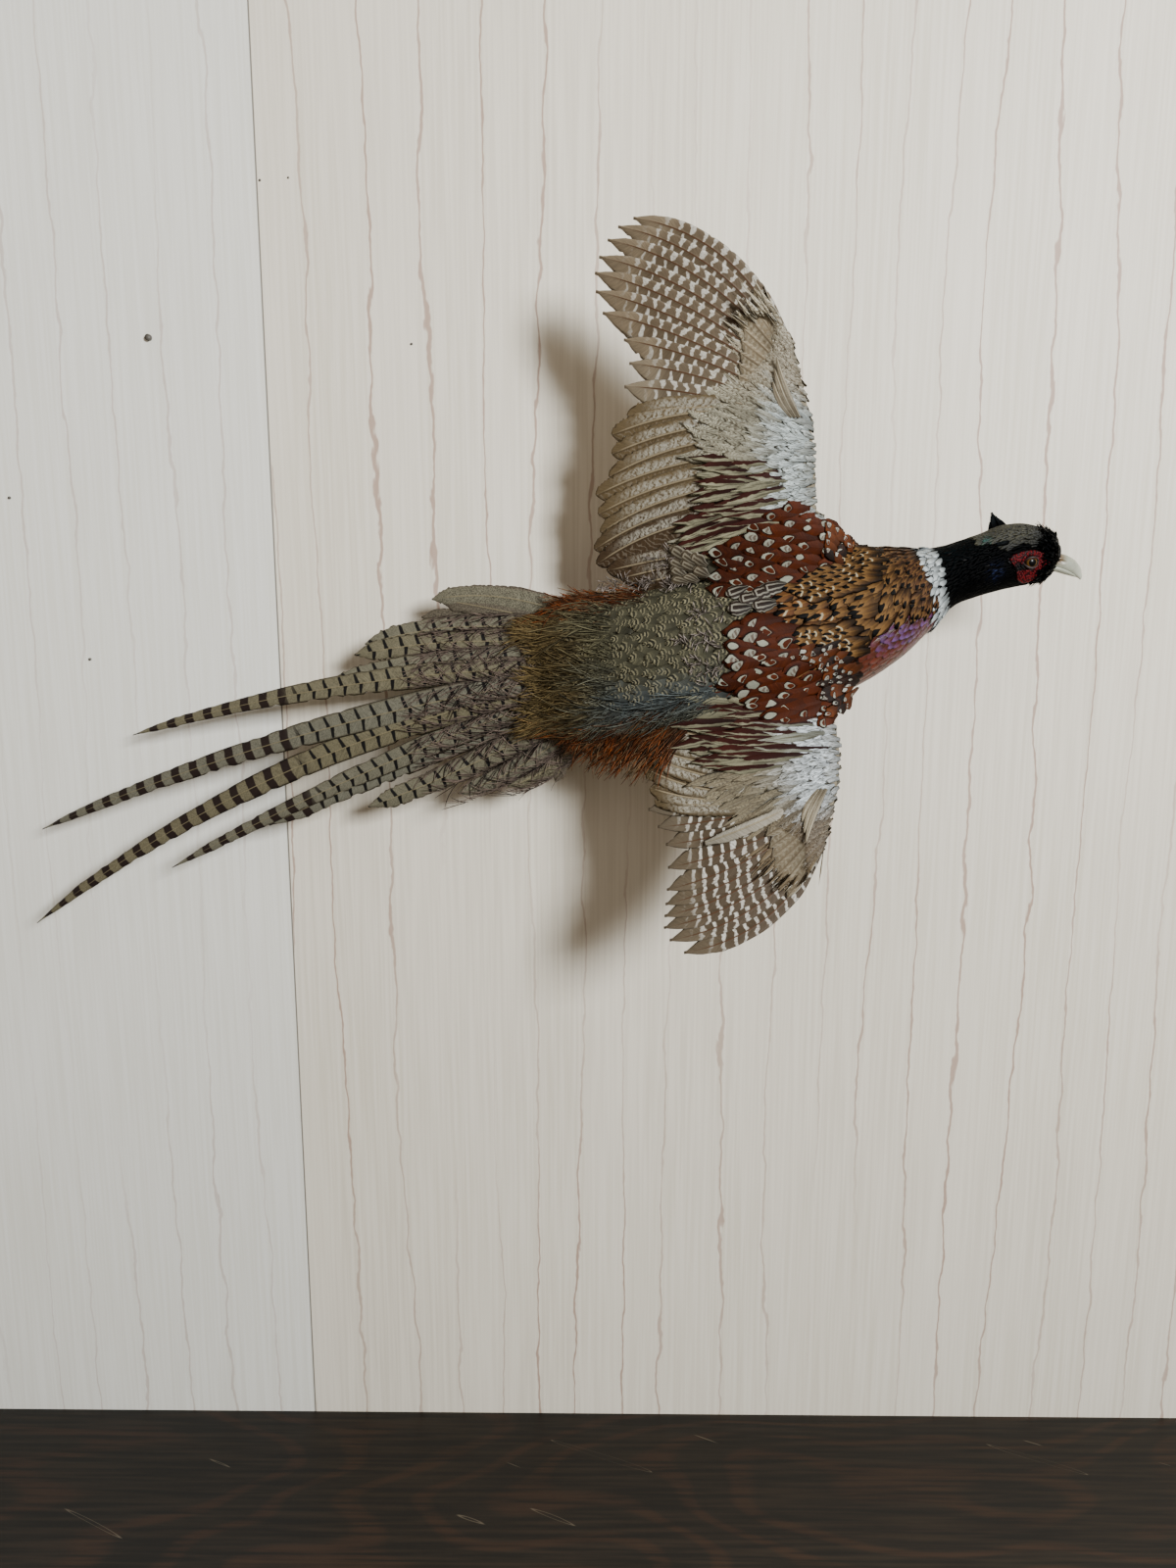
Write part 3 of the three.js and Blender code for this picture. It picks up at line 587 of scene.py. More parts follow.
def plug(slot, value):
    if isinstance(value, Wire):
        slot.id_data.links.new(value.socket, slot)
    elif slot.type == "RGBA":
        slot.default_value = (*value[:3], 1)
    else:
        slot.default_value = value


def fed(kind, values, slots=None, out=0, **settings):
    """A new node with its settings and the values that feed it, as the wire that leaves it."""
    tree = next(value.tree for value in values if isinstance(value, Wire))
    node = tree.nodes.new(kind)
    for key, setting in settings.items():
        setattr(node, key, setting)
    for slot, value in zip(slots or range(len(values)), values):
        plug(node.inputs[slot], value)
    return Wire(node.outputs[out])


class Wire:
    """A value in a tree of nodes. Sums of wires and numbers add the nodes that work them out."""

    def __init__(self, socket):
        self.socket = socket
        self.tree = socket.id_data

    def __rsub__(self, other):
        return self * -1 + other

    def step(self, low, high):
        """0 below low and 1 above high, with a soft change between. High may be the lower of the two."""
        return fed("ShaderNodeMapRange", (self, low, high, 0.0, 1.0), interpolation_type="SMOOTHSTEP")

    def split(self):
        node = self.tree.nodes.new("ShaderNodeSeparateXYZ")
        plug(node.inputs[0], self)
        return [Wire(out) for out in node.outputs]


def sum_maker(operation):
    return lambda *values: fed("ShaderNodeMath", values, operation=operation)


for sign, operation in {
    "__add__": "ADD", "__radd__": "ADD", "__sub__": "SUBTRACT", "__mul__": "MULTIPLY", "__rmul__": "MULTIPLY",
    "__truediv__": "DIVIDE", "__abs__": "ABSOLUTE", "sine": "SINE", "power": "POWER", "least": "MINIMUM",
    "most": "MAXIMUM", "fraction": "FRACT",
}.items():
    setattr(Wire, sign, sum_maker(operation))


def blend(share, low, high, mode="MIX"):
    """The colour low where share is 0 and high where it is 1."""
    return fed("ShaderNodeMix", (share, low, high), (0, 6, 7), 2,
               data_type="RGBA", blend_type=mode, clamp_factor=True)


def coats(colour, *layers):
    """Paints layers over a colour. Each is a share, from 0 to 1, and the colour laid on by it."""
    for share, over in layers:
        colour = blend(share, colour, over)
    return colour


def triple(x, y, z):
    return fed("ShaderNodeCombineXYZ", (x, y, z))


def dimmed(colour, light):
    return blend(1.0, colour, triple(light, light, light), "MULTIPLY")


def noise(place, scale, detail=2.0):
    if not isinstance(place, Wire):
        place = triple(*place)
    names = ("Vector", "Scale", "Detail", "Roughness")
    return fed("ShaderNodeTexNoise", (place, scale, detail, 0.5), names, "Fac")


def spots(vane, along, across, seed, detail=2.0):
    """Soft spots that differ from feather to feather, counted along and across it."""
    return noise((along, vane.across * across, vane.seed * seed), 1.0, detail)


def attribute(tree, name, out):
    read = tree.nodes.new("ShaderNodeAttribute")
    read.attribute_name = name
    return Wire(read.outputs[out])


def embossed(surface, height, strength, depth):
    """Relief on a surface, from the height that a wire carries."""
    bump = fed("ShaderNodeBump", (strength, depth, height), ("Strength", "Distance", "Height"))
    plug(surface.inputs["Normal"], bump)


class Named(dict):
    """Wires, each called by its name."""
    __getattr__ = dict.__getitem__


def new_group(name, inputs, outputs):
    """A shared effect: a group of nodes with named numbers going in, and numbers or colours coming out."""
    group = bpy.data.node_groups.new(name, "ShaderNodeTree")
    for label in inputs:
        group.interface.new_socket(label, in_out="INPUT", socket_type="NodeSocketFloat")
    for label in outputs:
        kind = "NodeSocketColor" if label in ("ground", "mark") else "NodeSocketFloat"
        group.interface.new_socket(label, in_out="OUTPUT", socket_type=kind)
    entry, leave = group.nodes.new("NodeGroupInput"), group.nodes.new("NodeGroupOutput")
    return group, Named({s.name: Wire(s) for s in entry.outputs if s.name}), leave.inputs


def use_group(tree, group, **values):
    node = tree.nodes.new("ShaderNodeGroup")
    node.node_tree = group
    for label, value in values.items():
        plug(node.inputs[label], value)
    return Named({s.name: Wire(s) for s in node.outputs})


def vane_group():
    """Where a point lies on its own feather, and how long and wide that feather is, in mm."""
    stored = {"vane": ("along", "across", "seed"), "size": ("length", "half", "sort")}
    names = [*stored["vane"], *stored["size"], "side", "distance", "ground", "mark"]
    group, _, leave = new_group("vane", [], names)
    found = Named()
    for label, names in stored.items():
        found.update(zip(names, attribute(group, label, "Vector").split()))
    found.update(side=abs(found.across), distance=found.along * found.length)
    for label, value in found.items():
        plug(leave[label], value)
    for label in ("ground", "mark"):
        plug(leave[label], attribute(group, label, "Color"))
    return group


def barbs_group():
    """Barbs that leave the shaft at a slant: a shade, the height for the relief, and the shaft's own mask."""
    group, vane, leave = new_group(
        "barbs", ["along", "across", "seed", "length", "half", "spacing", "quill"],
        ["shade", "height", "shaft"])
    off = abs(vane.across) * vane.half
    way = vane.along * vane.length - off * 0.8
    wander = noise((way * 0.35, off * 0.25, vane.seed * 40), 1.0, 3.0) - 0.5
    ridge = ((way / vane.spacing + wander * 3) * 6.2832).sine()
    clump = noise((way * 1.1, off * 0.12, vane.seed * 70), 1.0)
    shaft = off.step(vane.quill, vane.quill * 0.4) * vane.along.step(1.0, 0.85)
    plug(leave["shade"], (clump - 0.5) * 1.3 + ridge * 0.12)
    plug(leave["height"], ridge * 0.25 + clump + shaft * 1.5)
    plug(leave["shaft"], shaft)
    return group


VANE, BARBS = vane_group(), barbs_group()


def feather_look(name, paint, roughness=0.6, shine=0.3, spacing=0.45, shaft=0.35, shade=0.5, relief=0.35,
                 depth=0.66, root=0.45):
    """A material for vanes. Paint works out the colour from where a point lies on its feather."""
    material, tree, surface = new_look(name, roughness, shine)
    vane = use_group(tree, VANE)
    own = {key: vane[key] for key in ("along", "across", "seed", "length", "half")}
    barbs = use_group(tree, BARBS, spacing=spacing, quill=shaft, **own)
    # Vanes are darker towards their roots: partly their own dark down, and partly painted shade where other
    # feathers cover them. They are streaked by their barbs.
    light = (barbs.shade * shade + 1.0) * (vane.along.step(0.10, 0.80) * (1 - root) + root) * depth
    plug(surface.inputs["Base Color"], dimmed(paint(vane, barbs), light))
    embossed(surface, barbs.height, relief, 0.0002)
    return material


def mixed(low, high, share):
    """For each feather, the colour low where share is 0 and high where it is 1."""
    share = np.reshape(share, (-1, 1))
    return low * (1 - share) + high * share


GOLD, BUFF, INK = tint(104, 73, 40), tint(142, 106, 62), tint(6, 5, 5)


def tip_mask(vane, start, soft, round_off=0.35):
    """1 beyond a line that curves back at both sides, as the end of a rounded feather does."""
    line = vane.along + vane.across * vane.across * round_off * -1
    return line.step(start - soft, start + soft)


def paint_mantle(vane, barbs):
    """Gold with buff to the sides, a black wedge at the tip and sides in painted shade; cream loops on the
    hindmost.
    """
    wobble = spots(vane, vane.along * 5, 2, 50) - 0.5
    colour = blend(vane.along.step(0.40, 0.80), vane.ground, vane.mark)
    colour = coats(
        colour,
        (barbs.shade.step(0.0, 0.5) * 0.6, tint(84, 52, 28)),
        # Painted shade: the sides of each feather darken where its neighbours lie over it.
        ((vane.side + wobble * 0.6).step(0.50, 0.72) * 0.9, tint(44, 26, 16)),
        (vane.side.step(0.16, 0.05) * vane.along.step(0.8, 0.6) * 0.5, tint(158, 116, 62)),
    )
    lean = vane.across * (vane.seed - 0.5)
    wedge = (vane.along - vane.side * 0.50 + wobble * 0.20 + lean * 0.5).step(0.63, 0.66)
    colour = blend(wedge, colour, INK)
    rim = vane.along - vane.side * vane.side * 0.25 + wobble * 0.08 + lean * 0.35
    loop = rim.step(0.60, 0.62) * rim.step(0.70, 0.67) * (vane.across + vane.seed - 0.5).step(-0.5, -0.3)
    return blend(loop * vane.sort * vane.side.step(0.7, 0.55) * 0.8, colour, tint(210, 200, 168))


# The mantle carries the deepest painted shade at its roots, where each feather lies under the next.
mantle_look = feather_look("mantle", paint_mantle, roughness=0.6, shine=0.10, shade=0.8, depth=0.72,
                           root=0.10)
dice = np.random.default_rng(11)


def mantle_sides(share):
    """How far round the body the mantle reaches to the left and to the right."""
    right = 1.28 - 0.82 * float(ease(0, 0.35, share)) + 0.30 * float(ease(0.42, 0.7, share))
    return -1.60 + 0.25 * share, right


aft, aside, share = rows_over(
    body_surface, (-7.74, -4.4), mantle_sides, lambda s: 0.0040 + 0.0044 * s, lambda s: 0.0038 + 0.0026 * s,
    dice)
scale = 0.72 + 0.38 * ease(0, 0.6, share)
heading = dice.normal(0.10, 0.15, len(aft))
length = 0.0235 * scale * dice.normal(1, 0.08, len(aft))
base = 0.0002 + 0.0050 * ease(-0.5, -1.3, aside) * ease(0.7, 0.1, share)
mantle = on_body(aft, aside, heading, length, 0.0104 * scale, dice, rows=9, columns=7, base=base,
                 lift=dice.uniform(0.12, 0.24, len(aft)), settle=0.76, fringe=0.10)
near_ring = ease(0.30, 0.0, share + dice.normal(0, 0.03, len(aft)))
rear = ease(0.45, 0.95, share + dice.normal(0, 0.1, len(aft)))
ground = mixed(GOLD, tint(104, 50, 28), 0.5 * rear) * dice.normal(1, 0.16, (len(aft), 1))
mark = mixed(BUFF, tint(136, 78, 44), 0.5 * rear) * dice.normal(1, 0.12, (len(aft), 1))
mantle["ground"] = mixed(ground, tint(50, 30, 28), 0.85 * near_ring)
mantle["mark"] = mixed(mark, tint(80, 46, 32), 0.75 * near_ring)
mantle["sort"] = (rear > 0.3) * (dice.random(len(aft)) < 0.6)
feather_piece("coat_mantle", [mantle], mantle_look, "mantle_feathers")

# ---- Breast ----------------------------------------------------------------
# Copper feathers with a fine black edge, from the ring down both sides and under the crop to the belly.
# Their purple gloss is painted into the colour as a violet sheen, in a band where it catches the light.


def paint_breast(vane, barbs):
    colour = blend(vane.along.step(0.45, 0.95), vane.ground, vane.mark)
    edge = tip_mask(vane, 0.93, 0.05, 0.3).most(vane.side.step(0.88, 0.99))
    return blend(edge * 0.75, colour, INK)


breast_look = feather_look("breast", paint_breast, roughness=0.34, shine=0.55, shade=0.4)


def breast_tints(place, angle, dice):
    """A painted violet sheen high on the flanks of the crop, copper below and behind, dark wine on the belly
    side.
    """
    violet_sheen = ease(5.6, 6.6, place) * np.exp(-((np.abs(angle) - 1.05 - 0.45 * (place - 7)) / 0.36) ** 2)
    behind = ease(6.6, 4.2, place)
    copper, wine, lilac_sheen = tint(112, 50, 28), tint(92, 30, 40), tint(128, 92, 158)
    violet_sheen = np.clip(violet_sheen + 0.25 * dice.normal(0, 1, len(place)) * (violet_sheen > 0.15), 0, 1)
    low = np.maximum(ease(1.25, 1.6, np.abs(angle)), ease(6.4, 7.4, place) * 0.6)[:, None]
    ground = copper * (1 - 0.8 * low) * (1 - violet_sheen[:, None] * 0.5) + wine * 0.8 * low
    mark = mixed(mixed(copper, wine, low) * 1.2, lilac_sheen, violet_sheen)
    shade = dice.normal(1, 0.12, (len(place), 1)) * (1 - 0.2 * behind[:, None])
    return ground * shade, mark * shade


dice = np.random.default_rng(12)
breast = []
for low, high in ((-math.pi, -1.45), (0.36, math.pi)):
    aft, aside, share = rows_over(
        body_surface, (-7.85, -3.4), lambda s, low=low, high=high: (low, high),
        lambda s: 0.0050 + 0.0026 * s, lambda s: 0.0052 + 0.0022 * s, dice)
    scale = 0.72 + 0.38 * share
    one = on_body(aft, aside, dice.normal(0, 0.08, len(aft)), 0.0185 * scale, 0.0115 * scale, dice,
                  rows=7, columns=5, base=-0.0004, lift=0.16, settle=0.8)
    one["ground"], one["mark"] = breast_tints(-aft, aside, dice)
    breast.append(one)
feather_piece("coat_breast", breast, breast_look, "mantle_feathers")

# ---- White ring ------------------------------------------------------------
# A collar of pure white feathers, soft and a little ruffled, narrow behind the neck and broad at the throat.
# They are rooted in the skin like the rest, in close rows that lean with the neck.


def paint_ring(vane, barbs):
    edge = tip_mask(vane, 0.9, 0.08).most(vane.side.step(0.8, 1.0))
    return blend(edge * 0.6, vane.ground, vane.mark)


def all_round(share):
    return -math.pi, math.pi - 0.02


ring_look = feather_look("ring", paint_ring, roughness=0.7, shine=0.2, shade=0.35, relief=0.5, depth=0.85,
                         root=0.3)
dice = np.random.default_rng(13)


def ring_lean(angle):
    """How far along the spine the ring moves with the angle round the neck."""
    return 0.08 * np.cos(angle + 0.9) - 0.10 * ease(0.6, 1.3, angle)


aft, aside, _ = rows_over(
    body_surface, (-8.06, -7.72), all_round,
    lambda s: 0.0026, lambda s: 0.0044, dice)
aft = aft - ring_lean(aside)
throat = ease(1.2, 2.4, aside)
nape = ease(-0.5, -1.3, aside)
ring = on_body(aft, aside, dice.normal(0, 0.26, len(aft)),
               (0.0102 + 0.0040 * throat) * dice.normal(1, 0.20, len(aft)), 0.0050, dice, rows=8, columns=5,
               base=0.0002 + 0.0032 * nape, lift=dice.uniform(0.14, 0.48, len(aft)), settle=0.70, fringe=0.35)
ring["ground"] = tint(196, 204, 206) * dice.normal(1, 0.18, (len(aft), 1)).clip(0.5, 1.15)
ring["mark"] = tint(92, 102, 110)
feather_piece("coat_ring", [ring], ring_look, "collar_feathers")

# ---- Neck ------------------------------------------------------------------
# Short close black feathers, rooted in fine rows from the ring to the bill and laid flat, with their blue and
# green gloss painted in as a sheen. The bare skin round the eyes and the crown are left free; loose points
# stand round the bill.


def paint_gloss(vane, barbs):
    return blend(vane.along.step(0.35, 0.9), vane.ground, vane.mark)


neck_look = feather_look("neck", paint_gloss, roughness=0.5, shine=0.03, shade=0.4, relief=0.2)
dice = np.random.default_rng(14)


def gloss_tints(place, angle, dice):
    """Near-black, with a blue sheen painted at the sides of the neck and a green sheen painted behind the
    crown.
    """
    green, blue, black = tint(8, 26, 30), tint(64, 78, 124), tint(2, 3, 4)
    patch = np.exp(-((place - 10.25) / 0.34) ** 2 - ((np.abs(angle) - 1.68) / 0.26) ** 2)[:, None]
    patch = patch * dice.uniform(0, 1, (len(place), 1)) ** 1.5
    top = np.exp(-((place - 8.9) / 1.0) ** 2 - (angle / 0.7) ** 2)[:, None]
    mark = black * (1 - 0.75 * np.maximum(patch, top)) + blue * 0.8 * patch + green * 0.6 * top
    shade = dice.normal(1, 0.25, (len(place), 1)).clip(0.4, 1.8)
    return black * 0.7 * shade, mark * shade


aft, aside, share = rows_over(
    body_surface, (-13.85, -7.80), all_round,
    lambda s: 0.0016 + 0.0012 * s, lambda s: 0.0019 + 0.0011 * s, dice)


def off_face(aft, aside, extra):
    """Which roots lie clear of the eyes and the bare skin round them."""
    points = body_surface(aft, aside, 0)
    clear = np.ones(len(points), bool)
    for side in SIDES.values():
        middle, forward, back, outward = eye_axes(side)
        x, y = (points - middle) @ forward, (points - middle) @ back
        clear &= ~(wattle_cover(x, y, extra) & ((points - middle) @ outward > -0.012))
    return clear


WATTLE_LINE = np.array([
    (-18.5, 3), (-15, 6.4), (-9, 8.2), (-2, 9.4), (5, 9), (11, 6.6),
    (15.5, 3), (19, -2.5), (15, -5.4), (10.6, -6.4), (9, -9.5), (7, -14),
    (2.5, -17.4), (-4, -17.4), (-8.6, -14), (-10.6, -8), (-13.5, -2.4),
]) / 1000


def edge_distance(line, x, y):
    """How far a point is inside a closed outline; below 0 it is outside."""
    x, y = np.asarray(x, float), np.asarray(y, float)
    nearest = np.full(x.shape, 1e9)
    inside = np.zeros(x.shape, bool)
    for (x0, y0), (x1, y1) in zip(line, np.roll(line, -1, axis=0)):
        dx, dy = x1 - x0, y1 - y0
        share = np.clip(((x - x0) * dx + (y - y0) * dy) / (dx * dx + dy * dy), 0, 1)
        nearest = np.minimum(nearest, np.hypot(x - x0 - share * dx, y - y0 - share * dy))
        crosses = ((y0 > y) != (y1 > y)) & (x < (x1 - x0) * (y - y0) / (y1 - y0 + 1e-12) + x0)
        inside ^= crosses
    return np.where(inside, nearest, -nearest)


def wattle_cover(x, y, extra):
    return edge_distance(WATTLE_LINE, x, y) > -extra


def on_crown(aft, aside):
    """The bronze cap, whose edge waves a little over the eyes."""
    wide = 0.55 + 0.55 * ease(9.9, 10.9, -aft) - 0.25 * ease(12.6, 13.6, -aft) + 0.06 * np.sin(aft * 5)
    return (-aft > 9.8) & (np.abs(aside) < wide)


keep = off_face(aft, aside, -0.0012) & ~on_crown(aft, aside)
aft, aside, share = aft[keep], aside[keep], share[keep]
chin = ease(0.28, 0.0, share)
nape = ease(0.55, 0.95, share) * ease(-0.5, -1.3, aside)
neck = on_body(aft, aside, dice.normal(0, 0.14, len(aft)) * (1 + 1.5 * chin),
               0.0056 + 0.0034 * share + 0.0022 * chin * dice.random(len(aft)),
               0.0030 + 0.0014 * share - 0.0008 * chin, dice, rows=4, columns=3, base=0.0001 + 0.0046 * nape,
               lift=0.15 + 0.95 * chin * dice.random(len(aft)) ** 2, settle=0.85 - 0.5 * chin, camber=0.3)
neck["ground"], neck["mark"] = gloss_tints(-aft, aside, dice)
# Over the bill and under it the feathers stand up in ragged points.
many = 420
aft, aside = -dice.uniform(12.6, 13.8, many), dice.uniform(-math.pi, math.pi, many)
clear = off_face(aft, aside, 0.0)
aft, aside = aft[clear], aside[clear]
ruff = on_body(aft, aside, dice.normal(0, 0.5, len(aft)), dice.uniform(0.004, 0.0085, len(aft)),
               0.0018, dice, rows=5, columns=3, base=0.0003, lift=dice.uniform(0.3, 1.0, len(aft)),
               settle=0.3, camber=0.3, narrow=0.7)
ruff["ground"], ruff["mark"] = tint(3, 4, 5), tint(14, 16, 18)
feather_piece("coat_neck", [neck, ruff], neck_look, "neck_feathers")

# ---- Crown and face --------------------------------------------------------
# The crown is bronze to olive, dark towards the bill, with the smallest feathers of the bird. They are
# rooted in rows over the top of the head and a little ruffled over the bill.

crown_look = feather_look("crown", paint_gloss, roughness=0.5, shine=0.35, shade=0.7, relief=0.3)
dice = np.random.default_rng(15)
aft, aside, share = rows_over(
    body_surface, (-13.75, -9.7), lambda s: (-1.45, 1.45), lambda s: 0.0014 + 0.0011 * s, lambda s: 0.0019,
    dice)
keep = off_face(aft, aside, -0.0010) & on_crown(aft, aside)
aft, aside, share = aft[keep], aside[keep], share[keep]
front = ease(0.30, 0.02, share)
crown = on_body(aft, aside, dice.normal(0, 0.16, len(aft)), 0.0060 + 0.0026 * share, 0.0026, dice,
                rows=5, columns=3, base=0.0002, lift=0.18 + 0.95 * front * dice.random(len(aft)) ** 1.5,
                settle=0.85 - 0.5 * front, camber=0.3, fringe=0.25)
bronze, olive = tint(78, 76, 58), tint(40, 41, 32)
middle = np.exp(-(aside / 1.05) ** 8) * ease(0.20, 0.48, share)
ground = mixed(tint(14, 14, 14), olive, middle) * dice.normal(1, 0.15, (len(aft), 1))
mark = mixed(tint(20, 22, 20), bronze, middle) * dice.normal(1, 0.2, (len(aft), 1))
teal = np.exp(-((-aft - 10.25) / 0.20) ** 2 - ((aside - 0.52) / 0.16) ** 2) * dice.uniform(0.4, 1, len(aft))
crown["ground"] = mixed(ground, tint(8, 62, 62), teal)
crown["mark"] = mixed(mark, tint(18, 108, 102), teal)
feather_piece("coat_crown", [crown], crown_look, "crown_feathers")

# ---- Lower back ------------------------------------------------------------
# Loose grey-green feathers with fine black and cream loops, which pass into blue-grey at the flanks.
# They overlap from the mantle to the rump, and the plumes of the rump cover their ends.


def paint_loops(vane, barbs):
    """Nested loops of cream and black round the end of each feather."""
    reach = vane.along - vane.side * vane.side * 0.30
    wobble = noise((vane.along * 3, vane.across * 2, vane.seed * 50), 2.0) - 0.5
    loops = ((reach + wobble * 0.10) * 34).sine()
    colour = blend(barbs.shade * 0.8 + 0.5, vane.ground, vane.mark)
    strong = noise((vane.seed * 90, 0, 0), 1.0, 0.0).step(0.35, 0.6) * 0.6 + 0.35
    return coats(
        colour,
        (loops.step(0.1, 0.8) * reach.step(0.52, 0.64) * strong * 0.8, tint(164, 156, 124)),
        (loops.step(-0.2, -0.8) * reach.step(0.50, 0.60) * strong, tint(20, 21, 18)),
        (vane.side.step(0.75, 1.0) * 0.5, vane.ground),
    )


back_look = feather_look("lower_back", paint_loops, roughness=0.7, shine=0.2, depth=0.85)
dice = np.random.default_rng(21)
aft, aside, _ = rows_over(
    body_surface, (-4.75, -0.6), lambda s: (-1.75, 1.75), lambda s: 0.0064, lambda s: 0.0064, dice)
back = on_body(aft, aside, dice.normal(0, 0.22, len(aft)), 0.0215 * dice.normal(1, 0.10, len(aft)),
               0.0105, dice, rows=9, columns=7, base=0.0, lift=0.17, settle=0.75, fringe=0.16)
flank = ease(0.10, 0.60, aside) * ease(1.4, 2.0, -aft) * ease(4.2, 3.2, -aft)
olive, slate, ochre = tint(72, 70, 54), tint(72, 78, 78), tint(70, 58, 36)
ground = mixed(mixed(olive, slate, flank), ochre, ease(1.9, 0.9, -aft))
back["ground"] = ground * dice.normal(1, 0.12, (len(aft), 1))
back["mark"] = back["ground"] * 1.35
feather_piece("coat_back", [back], back_look, "rump_feathers")

# ---- Belly and flanks ------------------------------------------------------
# The side that faces the wall: gold-copper flanks with black tips, a dark belly and chestnut under the
# tail. Shorter feathers of the same kind sleeve both thighs down to the scales of the legs.


def paint_belly(vane, barbs):
    colour = blend(vane.along.step(0.2, 0.7), vane.ground, vane.mark)
    end = (vane.along - vane.side * 0.25).step(0.78, 0.88)
    return blend(end * vane.sort, colour, INK)


belly_look = feather_look("belly", paint_belly, roughness=0.6, shine=0.25)
dice = np.random.default_rng(22)
aft, aside, share = rows_over(
    body_surface, (-3.9, -0.15), lambda s: (1.62, 2 * math.pi - 1.62), lambda s: 0.0100, lambda s: 0.0098,
    dice)


def belly_set(surface, aft, aside, share, length, width, dice, **shape):
    one = laid(surface, aft, aside, dice.normal(0, 0.12, len(aft)), length, width, dice, **shape)
    low = ease(0.9, 0.35, np.abs(aside - math.pi))
    tail_end = ease(0.72, 0.95, share)
    flank_gold, dark, chestnut = tint(150, 92, 44), tint(44, 34, 30), tint(96, 48, 26)
    ground = mixed(mixed(flank_gold, dark, low), chestnut, tail_end)
    one["ground"] = ground * dice.normal(1, 0.14, (len(aft), 1))
    one["mark"] = one["ground"] * 1.25
    one["sort"] = (1 - low) * (1 - tail_end)
    return one


belly = belly_set(body_surface, aft, aside, share, 0.030, 0.0150, dice, rows=7, columns=5, base=-0.0002,
                  lift=0.15)
belly["patch"] = body_patch(aft, aside)


def thigh_surface(side):
    """A thigh's own surface: aft down the leg, from 0 to 1, and aside round it."""
    stations = np.array(thigh_stations(side))

    def surface(aft, aside, height):
        at = np.clip(aft, 0, 1.1) * 4
        rows = np.stack([np.interp(at, np.arange(5), stations[:, k]) for k in range(4)], -1)
        rows[..., :3] += (np.maximum(at, 4) - 4)[..., None] * (stations[4, :3] - stations[3, :3])
        along = unit(np.array([-0.9, 0.28, 0.0]))
        across = np.array([0, 0, 1.0])
        other = np.cross(along, across)
        radius = (rows[..., 3] + height)[..., None]
        return rows[..., :3] + radius * (across * np.cos(aside)[..., None] - other * np.sin(aside)[..., None])

    return surface


coat = [belly]
for side in SIDES.values():
    surface = thigh_surface(side)
    aft, aside, share = rows_over(surface, (0.02, 0.86), lambda s: (0.0, 2 * math.pi), lambda s: 0.0075,
                                  lambda s: 0.0085, dice)
    one = belly_set(surface, aft, aside, share * 0.6, 0.0170, 0.0105, dice, rows=6, columns=5, base=-0.0004,
                    lift=0.12)
    one["patch"] = np.stack([0.55 + 0.2 * (side > 0) + 0.15 * aft, 0.02 + 0.15 * (aside / 6.3)], -1)
    coat.append(one)
feather_piece("coat_belly", coat, belly_look, "belly_feathers")

# ---- Primaries -------------------------------------------------------------
# Ten long stiff feathers on each hand, spread like a fan. They are brown-grey with staggered white teeth
# on both vanes, plain towards the tip, and their edges are split here and there where barbs part.

REACHES = {
    "left": (0.146, 0.146, 0.156, 0.180, 0.192, 0.199, 0.202, 0.203, 0.202, 0.197),
    "right": (0.147, 0.141, 0.138, 0.143, 0.152, 0.159, 0.165, 0.171, 0.174, 0.173),
}
SWEEPS = {
    "left": (9.6, 16.5, 22.0, 25.6, 29.0, 32.2, 35.4, 39.2, 42.6, 46.1),
    "right": (3.5, 9.8, 16.5, 24.0, 30.0, 33.4, 36.0, 38.4, 42.0, 47.1),
}


def wing_skin(wing, under=False):
    """A wing's feathered surface: aft along the chord, and a height over the flesh or the vanes behind it."""
    sign = -1 if under else 1

    def surface(aft, aside, height):
        span = -wing["side"] * sign * np.asarray(aside)
        front, rear, above, below = wing_flesh(wing, span)
        share = (aft - front) / (rear - front)
        swell = np.where(share < 1, wing_swell(share), 0.18 * np.exp(-np.maximum(share - 1, 0) * 3))
        base = (below if under else above) * swell
        # Behind the hand the coverts lie down onto the fan of primaries, which drops towards the tip.
        drop = 0.0045 * ease(0.9 * wing["wrist"][0], wing["hand"], span) * ease(1.02, 1.6, share)
        return wing_point(wing, span, aft, sign * (base + height) - drop)

    return surface


def bowed(start, end, bow, share):
    """Places and directions along a line that bows to one side, and the length of its chord."""
    start, end = np.array(start, float), np.array(end, float)
    chord = end - start
    middle = (start + end) / 2 + np.array([-chord[1], chord[0]]) / np.hypot(*chord) * bow
    share = np.asarray(share)[..., None]
    at = (1 - share) ** 2 * start + 2 * (1 - share) * share * middle + share ** 2 * end
    return at, unit(2 * (1 - share) * (middle - start) + 2 * share * (end - middle)), np.hypot(*chord)


